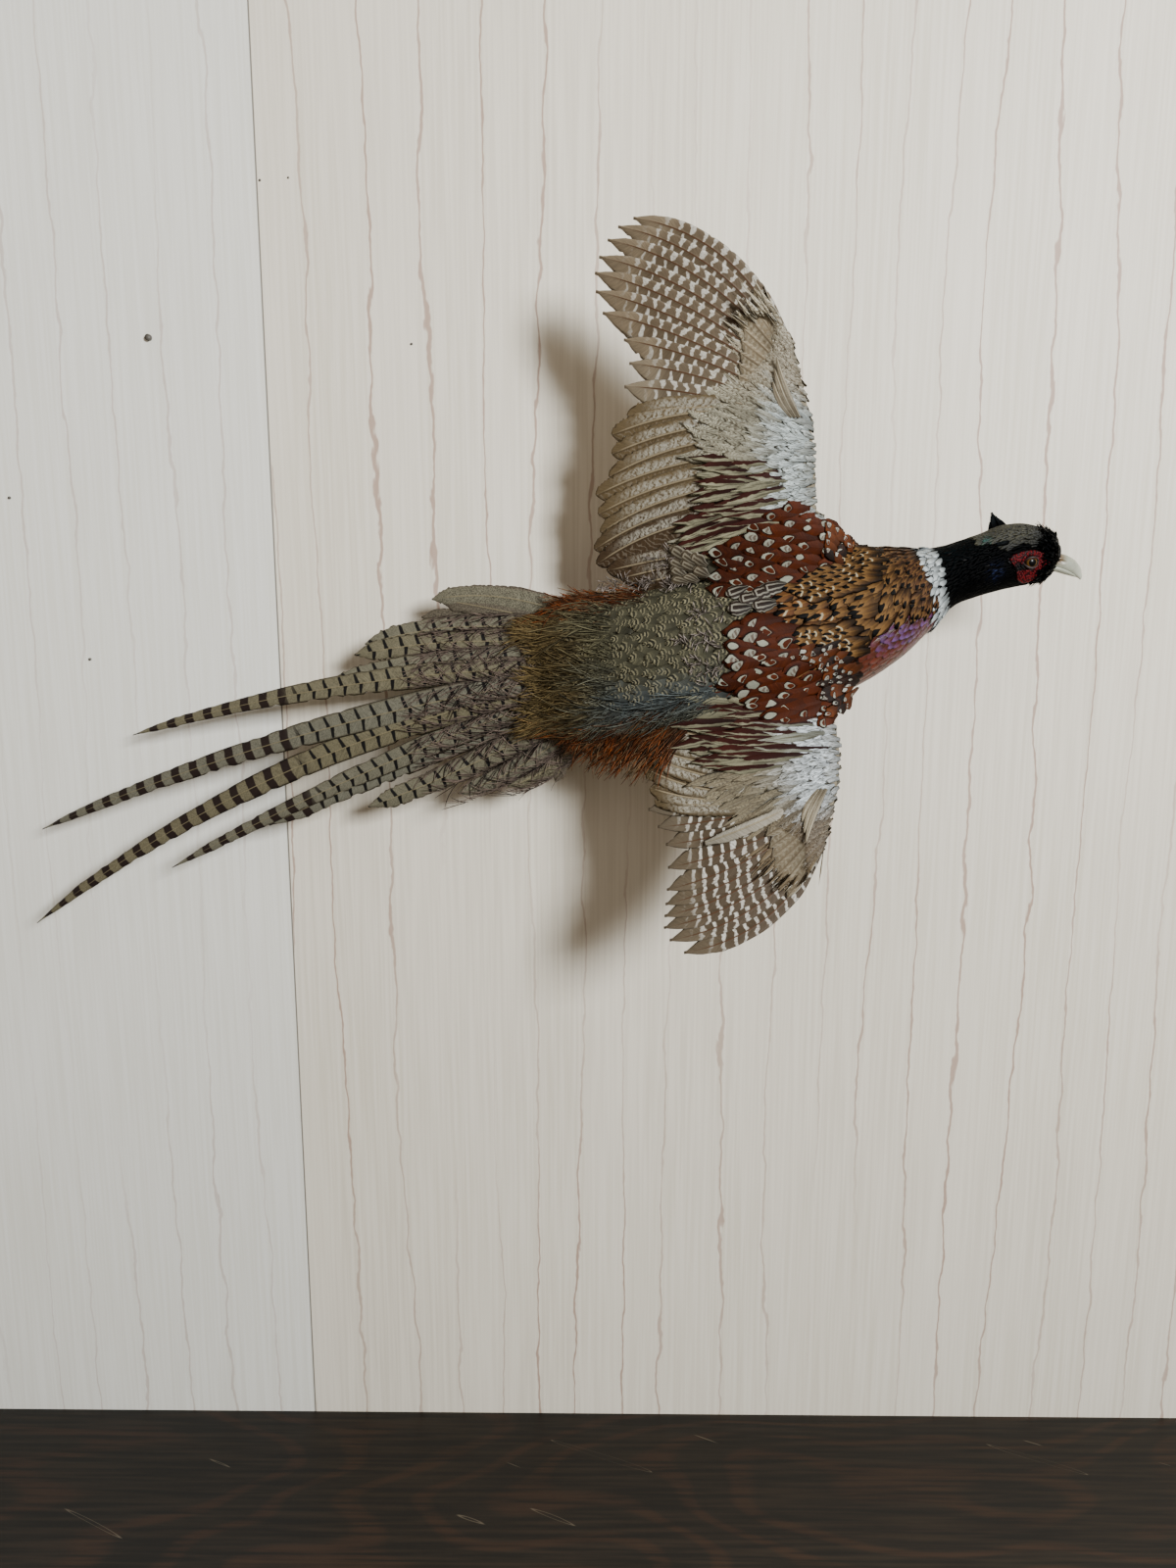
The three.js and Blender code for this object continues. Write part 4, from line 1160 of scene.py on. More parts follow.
def vanes(place, lines, outline, rng, rows=60, splits=0.10, camber=0.0011, shaft=0.0007, thick=0.0003,
          twist=0.0, fray=0.08):
    """Long feathers as grids: each bowed line runs over a surface, with half-widths ahead and behind."""
    columns = np.array([-1, -0.8, -0.5, -0.2, -0.05, 0.0, 0.05, 0.2, 0.5, 0.8, 1.0])
    tops, unders, lengths, halves = [], [], [], []
    u = np.linspace(0, 1, rows)
    for start, end, bow, height, order in lines:
        centre, along, length = bowed(start, end, bow, u)
        ahead, behind = outline(u, order)
        # Edges waver, and here and there the barbs part in a notch.
        waver = 1 + 0.03 * np.interp(u * 14, np.arange(16), rng.normal(0, 1, 16))
        waver = waver * (1 - fray * rng.random(rows) * ease(0.60, 0.92, u))
        notch = np.where((rng.random(rows) < splits) & (u > 0.2) & (u < 0.97), rng.uniform(0.06, 0.28, rows),
                         0)
        edge_a, edge_b = ahead * waver * (1 - notch * 0.4), behind * waver * (1 - np.roll(notch, 7))
        wide = np.where(columns < 0, np.where(columns < -0.9, edge_a[:, None], ahead[:, None] * 0.98),
                        np.where(columns > 0.9, edge_b[:, None], behind[:, None] * 0.98))
        across = columns * wide
        # The shaft stands up between the vanes and thins to nothing at the tip.
        stem = shaft * np.exp(-(columns / 0.04) ** 2) * (1 - 0.7 * u)[:, None]
        level = np.reshape(height, (-1, 1)) - camber * columns ** 2 + stem
        level = level + twist * columns * (0.3 + 0.7 * u)[:, None]
        a = centre[:, None, 0] - along[:, None, 1] * across
        b = centre[:, None, 1] + along[:, None, 0] * across
        tops.append(place(a, b, level))
        keel = len(columns) // 2
        unders.append(place(a[:, keel], b[:, keel], level[:, keel] - thick - shaft * 0.8))
        lengths.append(length)
        halves.append((ahead.max() + behind.max()) / 2)
    return feather_set(np.array(tops), np.array(unders), u[:, None], columns, lengths, halves, rng)


def wing_vanes(wing, lines, outline, rng, **shape):
    """Long feathers over a wing, with the same side of each towards the body on both wings."""
    one = vanes(lambda span, chord, level: wing_point(wing, span, chord, level), lines, outline, rng, **shape)
    if wing["side"] > 0:
        for key in ("top", "u", "v"):
            one[key] = one[key][:, :, ::-1]
    return one


def strips(count, first=0.0, last=1.0):
    """Each long feather's own strip of the texture."""
    edges = np.linspace(first + 0.01, last - 0.01, count + 1)
    return np.stack([np.stack([edges[:-1] + 0.002, np.full(count, 0.02)], -1),
                     np.stack([edges[1:] - 0.002, np.full(count, 0.98)], -1)], 1)


def teeth(vane, pitch, shift, low, high):
    """Bars on both vanes, staggered from one vane to the other where sort is 0, slanting across where 1."""
    behind = vane.across.step(-0.01, 0.01)
    wobble = spots(vane, vane.distance * 0.12, 1.5, 60) - 0.5
    stagger = behind * (0.5 - vane.sort * 0.42) + vane.across * vane.sort * 0.30
    phase = (vane.distance / pitch + stagger + vane.seed * shift + wobble * 0.9).fraction()
    tooth = abs(phase - 0.5) * 2
    return tooth.step(high, low)


def paint_primary(vane, barbs):
    speck = spots(vane, vane.distance * 0.55, 7, 30, 2.0)
    # Teeth on the left wing; on the right wing bars that cross the whole vane.
    widen = vane.side * (1 - vane.sort) * 0.32 + vane.sort * 0.14
    tooth = teeth(vane, 9.2, vane.sort * 1.3 + 0.6, widen + 0.06, widen + 0.24)
    tooth = tooth * vane.side.step(0.03, 0.12).most(vane.sort * 0.8)
    plain = (vane.along + (speck - 0.5) * 0.16).step(0.78, 0.90)
    behind = vane.across.step(0.0, 0.02)
    strength = tooth * (1 - plain) * (0.75 + behind * 0.25) * (speck.step(0.38, 0.50) * 0.5 + 0.5)
    colour = blend(barbs.shade * 0.6 + 0.5, vane.ground, vane.mark)
    barred = vane.along.step(0.86, 0.74)
    return coats(
        colour,
        (barred * (1 - tooth) * 0.55, tint(66, 48, 32)),
        (strength, tint(246, 242, 230)),
        (vane.side.step(0.90, 1.0) * 0.35, tint(190, 180, 164)),
        (barbs.shaft, tint(92, 62, 40)),
    )


primary_look = feather_look("primaries", paint_primary, roughness=0.55, shine=0.25, spacing=0.6, shaft=0.7,
                            depth=0.74, root=0.9)


def primary_outline(share, order):
    tip = np.sqrt(np.maximum(0.012, 1 - ease(0.72, 1, share) ** 1.6))
    width = tip * (0.80 + 0.20 * ease(0, 0.3, share))
    return 0.0068 * width, 0.0168 * width * (1 - 0.2 * order)


def primary_lines(name, wing):
    """Root, tip, bow, height and order of each primary, from the wrist outwards."""
    lines = []
    tip_front = float(leading_chord(wing, wing["hand"]))
    for i, (reach, sweep) in enumerate(zip(REACHES[name], SWEEPS[name])):
        order = i / 9
        span, chord = wing["wrist"]
        root = (span + 0.002 + (wing["hand"] - 0.008 - span) * order,
                chord + 0.011 + (tip_front + 0.004 - chord - 0.011) * order)
        tip = (span + reach * math.sin(math.radians(sweep)), chord + reach * math.cos(math.radians(sweep)))
        lines.append((root, tip, -(0.010 + 0.030 * order ** 1.6), -0.0008 * (i + 1.2), order))
    return lines


for name, wing in WINGS.items():
    dice = np.random.default_rng(31 if name == "left" else 32)
    one = wing_vanes(wing, primary_lines(name, wing), primary_outline, dice, rows=64, camber=0.0009)
    # Painted shade: the right wing's primaries are painted at half the brightness of the same feathers on the
    # left.
    light = 1 if name == "left" else 0.50
    ground = mixed(tint(142, 126, 102), tint(156, 146, 126), ease(2.5, 0.0, np.arange(10)))
    one["ground"] = ground * light * dice.normal(1, 0.07, (10, 1))
    one["mark"] = tint(166, 148, 122) * light
    one["sort"] = np.full(10, float(name == "right"))
    one["atlas"] = strips(10)
    feather_piece("primaries_" + name, [one], primary_look, "flight_feathers",
                  *[f"wing_{name}_primary_{i + 1:02d}" for i in range(10)])

# ---- Secondaries -----------------------------------------------------------
# A row of broad feathers from the elbow to the wrist, paler than the primaries, with wavy pale bars and
# worn, rounded ends.


def paint_secondary(vane, barbs):
    """Plain tan on the vane towards the body, mottled white along the shaft on the other."""
    wave = spots(vane, vane.distance * 0.10, 2.0, 60, 3.0)
    bars = ((vane.distance / 5.6 + wave * 3.0 + vane.side * 1.4 + vane.seed) * 6.2832).sine()
    fine = spots(vane, vane.distance * 0.9, 5, 20, 2.0)
    outer = vane.across.step(0.02, -0.02)
    colour = blend(barbs.shade * 0.8 + 0.5, vane.ground, vane.mark)
    band = outer * (vane.side + (wave - 0.5) * 0.7).step(0.90, 0.5)
    band = band * vane.along.step(0.92, 0.66) * vane.side.step(0.04, 0.12)
    mottle = bars.step(-0.6, 0.2) * 0.5 + fine.step(0.40, 0.56) * 0.5
    return coats(
        colour,
        (band * mottle * 0.85, tint(212, 207, 190)),
        ((1 - outer) * bars.step(0.3, 1.0) * 0.30 * vane.side.step(0.08, 0.2), tint(186, 174, 154)),
        (vane.side.step(0.90, 1.0).most(tip_mask(vane, 0.985, 0.012)) * 0.5, tint(186, 172, 146)),
        (vane.across.step(-0.02, 0.06) * vane.across.step(0.22, 0.06) * 0.45, tint(70, 54, 40)),
        (barbs.shaft * 0.8, tint(190, 174, 142)),
    )


secondary_look = feather_look("secondaries", paint_secondary, roughness=0.62, shine=0.2, spacing=0.6,
                              shaft=0.8, depth=0.70, root=0.8)


def secondary_outline(share, slim):
    tip = np.sqrt(np.maximum(0.02, 1 - (np.clip(share - 0.80, 0, 1) / 0.20) ** 2.6))
    width = tip * (0.4 + 0.6 * ease(0, 0.3, share)) * slim
    return 0.0095 * width, 0.0142 * width


for name, wing in WINGS.items():
    dice = np.random.default_rng(33 if name == "left" else 34)
    lines = []
    wrist = wing["wrist"][0]
    count = 9
    for i in range(count):
        order = i / (count - 1)
        span = -0.024 + (wrist + 0.028) * order
        root = (min(span + 0.050 - 0.030 * order, wrist + 0.008), 0.055)
        taper = wing["taper"] * float(ease(0.015, wrist + 0.020, span))
        rear = wing["trailing"] - taper - dice.uniform(-0.003, 0.008)
        bow = -0.021 + 0.012 * order - dice.uniform(-0.002, 0.004)
        lines.append((root, (span + dice.uniform(-0.003, 0.003), rear), bow, 0.0001 - 0.00005 * i, 1.0))
    if name == "left":
        # Beside the body the last brown feathers of the row close the gap to the back.
        for k in range(4):
            root, tip = (0.006 - 0.007 * k, 0.040), (-0.026 - 0.005 * k, 0.176 - 0.012 * k)
            lines.append((root, tip, -0.006, -0.0006 - 0.0004 * k, 1.0))
    else:
        # One slim pale feather has slipped and lies the other way round.
        lines.append(((0.125, 0.104), (0.105, 0.042), 0.003, np.linspace(0.0020, 0.0128, 80), 0.44))
    count = len(lines)
    one = wing_vanes(wing, lines, secondary_outline, dice, rows=80, splits=0.40, camber=0.0010,
                     twist=-0.0013, fray=0.42)
    tertial = np.maximum(ease(2.2, 0.0, np.arange(count)), (np.arange(count) > 8) * (name == "left"))
    one["ground"] = mixed(tint(106, 89, 62), tint(70, 52, 36), tertial) * dice.normal(1, 0.08, (count, 1))
    one["mark"] = mixed(tint(134, 116, 86), tint(96, 78, 56), tertial)
    # Painted shade: the right wing's secondaries are painted darker than the same feathers on the left.
    if name == "right":
        one["ground"], one["mark"] = one["ground"] * 0.72, one["mark"] * 0.72
        one["ground"][-1], one["mark"][-1] = tint(160, 150, 130), tint(204, 198, 182)
    one["atlas"] = strips(count)
    feather_piece("secondaries_" + name, [one], secondary_look, "flight_feathers", f"wing_{name}_secondaries")

# ---- Wing coverts ----------------------------------------------------------
# Small feathers in rows over the arm and hand, above and below, which lengthen towards the flight
# feathers. On each hand a stiff long covert lies over the base of every primary.


def paint_covert(vane, barbs):
    """Streaked along the shaft where sort is 0, barred like the flight feathers where it is 1."""
    streak = spots(vane, vane.along * 2.2, 6, 80, 3.0)
    wave = spots(vane, vane.distance * 0.2, 2, 60, 2.0)
    bars = ((vane.distance / 4.4 + wave * 1.6 + vane.side * 0.9) * 6.2832).sine().step(-0.2, 0.6)
    marks = streak.step(0.46, 0.60) * (1 - vane.sort) + bars * vane.sort * vane.side.step(0.05, 0.25)
    colour = blend(marks, vane.ground, vane.mark)
    return coats(
        colour,
        (vane.side.step(0.12, 0.02) * vane.sort * 0.6, tint(84, 66, 48)),
        (vane.side.step(0.70, 0.95) * (vane.sort * 0.5 + 0.3), tint(222, 219, 206)),
    )


covert_look = feather_look("coverts", paint_covert, roughness=0.65, shine=0.2, shade=0.6, depth=0.86,
                           root=0.6)


def covert_rows(wing, under, dice):
    surface = wing_skin(wing, under)
    sign = -wing["side"] * (-1 if under else 1)
    aft, aside, share = [], [], []
    rows = 19
    for k in range(rows):
        at = k / (rows - 1)
        spans = np.arange(-0.020, wing["hand"] - 0.002, 0.0052 + 0.0022 * at)
        spans = spans + 0.003 * (k % 2) + dice.normal(0, 0.0008, len(spans))
        front, rear, _, _ = wing_flesh(wing, spans)
        aft.append(front + 0.0004 + (rear - front - 0.012) * at ** 1.15 + dice.normal(0, 0.0009, len(spans)))
        aside.append(spans * sign)
        share.append(np.full(len(spans), at))
    return surface, *(np.concatenate(k) for k in (aft, aside, share))


def covert_tints(name, under, share, span, wrist, dice):
    """Bluish white behind the leading edge, cream and grey further back, brown over the hand."""
    brown, speck = tint(120, 108, 86), tint(106, 106, 98)
    if name == "left":
        blue, cream = tint(224, 236, 236), tint(186, 182, 160)
        fingers, bars = tint(204, 194, 170), tint(110, 92, 68)
    # The right wing's tints are painted light and shade on the same feathers: lighter blue, darker cream,
    # brown and bars.
    else:
        blue, cream = tint(236, 246, 252), tint(152, 142, 118)
        fingers, bars = tint(126, 110, 86), tint(84, 68, 50)
    if under:
        blue = tint(168, 160, 142)
    back = ease(0.25, 0.65, share)
    hand = ease(wrist + 0.002, wrist + 0.026, span)
    ground = mixed(mixed(blue, cream, back), fingers, 0.9 * hand)
    ground = mixed(ground, brown, 0.45 * ease(0.07, 0.0, share))
    mark = mixed(mixed(speck, bars, hand), tint(134, 118, 92), 0.5 * back)
    return ground * dice.normal(1, 0.10, (len(share), 1)), mark * dice.normal(1, 0.12, (len(share), 1))


def long_coverts(name, wing, dice):
    """Stiff coverts, each over the base of its own primary and bowed like it."""
    lines = []
    for root, tip, bow, height, order in primary_lines(name, wing):
        part = 0.046 / math.dist(root, tip)
        end = bowed(root, tip, bow, part)[0]
        lines.append((root, end, bow * part * part, np.linspace(0.0024, height + 0.0022, 24), order))
    one = wing_vanes(wing, lines, lambda share, order: np.array(primary_outline(share, order)) * 0.55, dice,
                     rows=24)
    # Painted shade: the right wing's long coverts are painted darker than the same feathers on the left.
    light = 1 if name == "left" else 0.66
    one["ground"] = tint(142, 127, 102) * light * dice.normal(1, 0.14, (10, 1))
    one["mark"] = tint(178, 166, 142) * light
    one["sort"] = np.full(10, 0.6)
    one["atlas"] = strips(10, 0.5, 1.0)
    return one


for name, wing in WINGS.items():
    for under in (False, True):
        dice = np.random.default_rng(41 + 2 * (name == "right") + under)
        surface, aft, aside, share = covert_rows(wing, under, dice)
        wrist = wing["wrist"][0]
        if not under:
            # The striped coverts take over on the inner wing.
            keep = (np.abs(aside) > 0.058 + 0.01 * share) | (share < 0.42) & (np.abs(aside) > 0.022)
            aft, aside, share = aft[keep], aside[keep], share[keep]
        span = np.abs(aside)
        out = ease(0.3 * wrist, wing["hand"], span)
        sign = -wing["side"] * (-1 if under else 1)
        heading = sign * (-0.10 + 0.85 * out) + dice.normal(0, 0.13, len(aft))
        over_hand = ease(wrist - 0.01, wrist + 0.02, span)
        length = 0.0165 + 0.022 * ease(0.25, 1, share) + 0.018 * over_hand * ease(0, 0.4, share)
        width = 0.0068 + 0.0026 * share - 0.0032 * over_hand
        length = length * dice.normal(1, 0.1, len(aft))
        lift = dice.uniform(0.06, 0.13, len(aft)) * (1 - 0.5 * share) * (1 - 0.55 * over_hand)
        one = laid(surface, aft, aside, heading, length, width, dice, rows=8, columns=5, base=0.0001,
                   lift=lift, settle=0.8, fringe=0.42, blunt=0.4)
        one["ground"], one["mark"] = covert_tints(name, under, share, span, wrist, dice)
        one["sort"] = np.maximum(ease(0.45, 0.8, share) * ease(0.35 * wrist, 0.8 * wrist, span),
                                 over_hand * 0.85)
        one["patch"] = np.stack([0.05 + 0.4 * (aft + 0.03) / 0.15, 0.05 + 0.9 * (np.abs(aside) + 0.02) / 0.2],
                                -1)
        sets = [one] if under else [one, long_coverts(name, wing, dice)]
        feather_piece(f"coverts_{name}_{'under' if under else 'upper'}", sets, covert_look, "wing_coverts")

# ---- Tail feathers ---------------------------------------------------------
# Twelve long feathers in a fan, olive-buff with paired dark bars, the middle ones longest and pointed.
# Their quills meet in the rump, and each feather lies over the next from the middle outwards.

# Tip, bow, half-width, layer and row of each feather, from the top of the fan to the bottom.
TAIL = [
    (-0.253, 0.033, 0.026, 0.0120, 10, 6.0), (-0.311, -0.005, 0.028, 0.0130, 8, 4.5),
    (-0.320, -0.014, 0.020, 0.0130, 6, 3.2), (-0.341, -0.037, 0.018, 0.0125, 4, 2.0),
    (-0.522, -0.086, 0.032, 0.0110, 2, 1.0), (-0.609, -0.171, 0.035, 0.0120, 0, 0.3),
    (-0.619, -0.257, 0.066, 0.0120, 1, -0.3), (-0.490, -0.203, 0.017, 0.0110, 3, -1.0),
    (-0.400, -0.163, 0.008, 0.0120, 5, -2.0), (-0.312, -0.146, -0.012, 0.0130, 7, -3.0),
    (-0.233, -0.134, -0.020, 0.0120, 9, -4.0), (-0.190, -0.128, -0.024, 0.0120, 11, -5.0),
]
TAIL_ROOT = (-0.112, -0.090, -0.028)


def tail_point(x, z, height):
    """A point over the fan, which leans back to the wall on both sides of a ridge."""
    out = TAIL_ROOT[0] - x
    slope = 0.28 + 0.20 * out / 0.520
    aside = z - TAIL_ROOT[2] + slope * out
    y = TAIL_ROOT[1] + 0.043 * np.hypot(out, z - TAIL_ROOT[2]) / 0.520 + aside * aside / 0.900 - height
    return np.stack([x + 0 * y, y, z + 0 * y], -1)


def paint_tail(vane, barbs):
    shift = vane.across.step(-0.01, 0.01) * 0.22
    wobble = spots(vane, vane.distance * 0.2, 2.0, 60, 3.0) - 0.5
    far = vane.distance.step(255, 275)
    near_phase = (vane.distance / 14.0 + shift + vane.seed + wobble * 0.10 - vane.side * 0.16).fraction()
    far_phase = (vane.distance / 17.5 + vane.seed + wobble * 0.10 + vane.side * 0.05).fraction()
    narrow = vane.side * 0.12
    near_bar = (abs(near_phase - 0.5) * 2).step(0.30 - narrow, 0.22 - narrow) * vane.side.step(0.98, 0.82)
    far_bar = (abs(far_phase - 0.5) * 2).step(0.50, 0.40)
    bar = near_bar * (1 - far) + far_bar * far
    colour = blend(barbs.shade * 0.8 + 0.5, vane.ground, vane.mark)
    mauve = vane.side.step(0.70, 1.0) * vane.distance.step(170, 90)
    colour = coats(
        colour,
        (vane.side.step(0.75, 1.0) * 0.4, tint(150, 138, 112)),
        (mauve * 0.8, tint(112, 96, 88)),
    )
    fine = spots(vane, vane.distance * 1.2, 9, 20, 1.0)
    return coats(
        colour,
        (fine.step(0.48, 0.60) * (vane.sort * 0.45 + 0.35), tint(56, 48, 38)),
        (bar * (1 - vane.sort), blend(far, tint(12, 10, 11), tint(40, 28, 24))),
        (barbs.shaft * 0.7, tint(150, 138, 106)),
    )


tail_look = feather_look("tail", paint_tail, roughness=0.6, shine=0.25, spacing=0.6, shaft=0.7, depth=0.72,
                         root=0.9)


def tail_outline(share, order):
    half, long = order
    taper = 1 - 0.6 * ease(0.25, 1, share) if long else 1 - 0.3 * share
    tip = np.sqrt(np.maximum(0.01, 1 - ease(0.86, 1, share) ** 1.5))
    width = half * taper * tip * (0.5 + 0.5 * ease(0, 0.2, share))
    return width, width


dice = np.random.default_rng(51)
lines = []
for x, z, bow, half, layer, row in TAIL:
    long = TAIL_ROOT[0] - x > 0.300
    lines.append(((TAIL_ROOT[0], TAIL_ROOT[2] + row * 0.006), (x, z), -bow, -0.0011 * layer, (half, long)))
tail = vanes(tail_point, lines, tail_outline, dice, rows=90, splits=0.20, camber=0.0018, fray=0.22)
olive, buff_olive, ash = tint(108, 98, 66), tint(136, 128, 100), tint(120, 120, 108)
lean_ash = dice.uniform(0, 0.9, 12)
tail["ground"] = mixed(olive, ash, lean_ash) * dice.normal(1, 0.07, (12, 1))
tail["mark"] = mixed(buff_olive, tint(138, 136, 120), lean_ash) * dice.normal(1, 0.05, (12, 1))
tail["sort"] = np.array([0.85] + [0] * 9 + [0.4, 0.85])
tail["atlas"] = strips(12)
feather_piece("tail_feathers", [tail], tail_look, "tail_feathers",
              *[f"tail_feather_{i + 1:02d}" for i in range(12)])

# ---- Tail coverts ----------------------------------------------------------
# Soft grey feathers, finely freckled and without bars. They are rooted with the tail feathers and lie
# behind them, so that no gap shows between the roots.

COVERTS = [
    (-0.246, 0.033, 0.014), (-0.262, 0.018, 0.013), (-0.290, -0.010, 0.013), (-0.265, -0.030, 0.013),
    (-0.268, -0.056, 0.012), (-0.262, -0.082, 0.012), (-0.255, -0.100, 0.013), (-0.238, -0.118, 0.013),
    (-0.212, -0.124, 0.012), (-0.175, -0.120, 0.011), (-0.148, -0.124, 0.009), (-0.190, -0.106, 0.012),
]
dice = np.random.default_rng(52)
lines = []
for k, (x, z, half) in enumerate(COVERTS):
    root = (TAIL_ROOT[0], TAIL_ROOT[2] + (5.5 - k) * 0.006)
    lines.append((root, (x, z), 0.004 * (k < 3) - 0.008, -0.0118 - 0.0006 * (k % 3), (half, False)))
cover = vanes(tail_point, lines, tail_outline, dice, rows=50, splits=0.3, camber=0.0016)
many = len(COVERTS)
cover["ground"] = tint(92, 84, 70) * dice.normal(1, 0.08, (many, 1))
cover["mark"] = tint(122, 113, 96) * dice.normal(1, 0.06, (many, 1))
cover["sort"] = np.ones(many)
cover["atlas"] = strips(many)
feather_piece("tail_coverts", [cover], tail_look, "tail_feathers")

# ---- Cape ------------------------------------------------------------------
# The scapular feathers lie over the hollow between back and wing. Their bed is the outer face of skin and
# wings together, with that hollow filled smoothly.

CAPE_X, CAPE_Z, CAPE_STEP = (-0.200, 0.130), (-0.160, 0.180), 0.0025


def cape_heights():
    points, faces = [], []
    for under in bpy.context.scene.objects:
        if under.name == "skin" or under.name.startswith("secondaries"):
            start = len(points)
            points += [v.co.copy() for v in under.data.vertices]
            faces += [[start + k for k in p.vertices] for p in under.data.polygons]
    tree = BVHTree.FromPolygons(points, faces)
    xs = np.arange(CAPE_X[0], CAPE_X[1], CAPE_STEP)
    zs = np.arange(CAPE_Z[0], CAPE_Z[1], CAPE_STEP)
    raw = np.full((len(xs), len(zs)), np.nan)
    for i, x in enumerate(xs):
        for j, z in enumerate(zs):
            hit = tree.ray_cast((float(x), -0.5, float(z)), (0, 1, 0))[0]
            if hit:
                raw[i, j] = hit.y
    filled = raw.copy()
    while np.isnan(filled).any():
        framed = np.pad(filled, 1, constant_values=np.nan)
        near = np.stack([framed[1 + a:framed.shape[0] - 1 + a, 1 + b:framed.shape[1] - 1 + b]
                         for a in (-1, 0, 1) for b in (-1, 0, 1)])
        known = ~np.isnan(near)
        total, many = np.nansum(np.where(known, near, 0), 0), np.maximum(known.sum(0), 1)
        mean = np.where(known.any(0), total / many, np.nan)
        filled = np.where(np.isnan(filled), mean + 0.0012, filled)
        filled = np.where(filled > -0.010, -0.010, filled)

    def soften(grid, rounds):
        for _ in range(rounds):
            wide = np.pad(grid, 1, mode="edge")
            grid = (wide[:-2, 1:-1] + wide[2:, 1:-1] + wide[1:-1, :-2] + wide[1:-1, 2:] + 4 * grid) / 8
        return grid

    smooth = np.minimum(soften(filled, 30), filled)
    return soften(smooth, 6)


cape_grid = cape_heights()


def cape_depth(x, z):
    i = np.clip((x - CAPE_X[0]) / CAPE_STEP, 0, cape_grid.shape[0] - 1.001)
    j = np.clip((z - CAPE_Z[0]) / CAPE_STEP, 0, cape_grid.shape[1] - 1.001)
    a, b = i.astype(int), j.astype(int)
    s, t = i - a, j - b
    low = cape_grid[a, b] * (1 - s) + cape_grid[a + 1, b] * s
    return low * (1 - t) + (cape_grid[a, b + 1] * (1 - s) + cape_grid[a + 1, b + 1] * s) * t


def cape_surface(aft, aside, height):
    x, z = -np.asarray(aft, float), -np.asarray(aside, float)
    y = cape_depth(x, z)
    step = CAPE_STEP
    slope_x = (cape_depth(x + step, z) - cape_depth(x - step, z)) / (2 * step)
    slope_z = (cape_depth(x, z + step) - cape_depth(x, z - step)) / (2 * step)
    normal = unit(np.stack([slope_x, -np.ones_like(y), slope_z], -1))
    return np.stack([x, y, z], -1) + normal * np.asarray(height)[..., None]


def on_sight(column, row):
    """Where a line of sight through a point of an upright sheet before the eye meets the cape."""
    wide, high = 1200, 1600
    reach = high * FOCAL_LENGTH / 36
    side = (np.asarray(column, float) - wide / 2) / reach
    up = (high / 2 - np.asarray(row, float)) / reach
    forward = math.cos(LOOK_DOWN) + up * math.sin(LOOK_DOWN)
    rise = -math.sin(LOOK_DOWN) + up * math.cos(LOOK_DOWN)
    depth = np.full(np.shape(column), -0.14)
    for _ in range(12):
        travel = (depth - EYE_POINT[1]) / forward
        x, z = EYE_POINT[0] + side * travel, EYE_POINT[2] + rise * travel
        depth = cape_depth(x, z)
    return x, z


# ---- Scapulars -------------------------------------------------------------
# Chestnut feathers over the shoulders, each with a cream eye ringed in black. Those next to the mantle are
# marked with fine pale loops, and those at the front of the right shoulder are small and scaly.


def paint_scapular(vane, barbs):
    along = vane.along
    wobble = (spots(vane, along * 4, 2.5, 50) - 0.5) * 0.25
    size = ((vane.seed * 7).fraction() * 0.5 + 0.75) * 0.84
    centre = 0.78 + (vane.seed - 0.5) * 0.10
    x = (along - centre) / 0.16 / size
    # Each mark is a drop, round at the tip of the feather and drawn out to one side at the other end.
    y = (vane.across + (vane.seed - 0.5) * (0.6 + x * 0.9)) / 0.44 / size / (1 + x * 0.38).most(0.35)
    far = (x * x + y * y).power(0.5) + wobble * 1.6
    bite = ((x + 0.42) * (x + 0.42) + (y - 0.18) * (y - 0.18)).power(0.5) + wobble * 2
    colour = coats(
        vane.ground,
        (barbs.shade.step(0.0, 0.6) * 0.45, tint(132, 66, 22)),
        # Dark maroon round each mark, and painted shade down the sides of each feather where its neighbours
        # overlap it.
        (far.step(1.9, 1.1).most(vane.side.step(0.75, 0.98)) * 0.75, tint(46, 20, 14)),
        (far.step(1.30, 1.16) * x.step(-0.9, -0.2), INK),
        (far.step(1.04, 0.94), vane.mark),
    )
    fine = (along * 60 + vane.side * 6).sine().step(-0.2, 0.6)
    inside = blend(fine, tint(120, 108, 96), tint(170, 166, 152))
    bitten = far.step(0.95, 0.84) * bite.step(0.86, 0.70) * (vane.seed * 13).fraction().step(0.14, 0.16)
    return coats(
        colour,
        (bitten, blend(vane.sort, vane.ground, inside)),
        (tip_mask(vane, 0.95, 0.02) * 0.5, tint(130, 70, 40)),
    )


scapular_look = feather_look("scapulars", paint_scapular, roughness=0.6, shine=0.12)


def paint_pale_loops(vane, barbs):
    """Pale lines that run side by side with the outline of the feather, one inside the other."""
    wobble = spots(vane, vane.along * 6, 3, 50) - 0.5
    inward = ((1 - vane.along) * vane.length).least((1 - vane.side) * vane.half * 0.9) + wobble * 0.5
    lines = ((inward / 3.2 + 0.05) * 6.2832).sine()
    rim = inward.step(0.4, 0.6) * inward.step(1.5, 1.3)
    colour = blend(lines.step(0.0, 0.7) * 0.75, vane.ground, vane.mark)
    return coats(
        colour,
        (lines.step(-0.3, -0.9) * vane.sort * 0.7, tint(46, 36, 32)),
        (rim * (vane.sort * 0.8 + 0.2), vane.mark),
        (inward.step(0.35, 0.15), tint(60, 34, 30)),
    )


loop_look = feather_look("pale_loops", paint_pale_loops, roughness=0.6, shine=0.2)


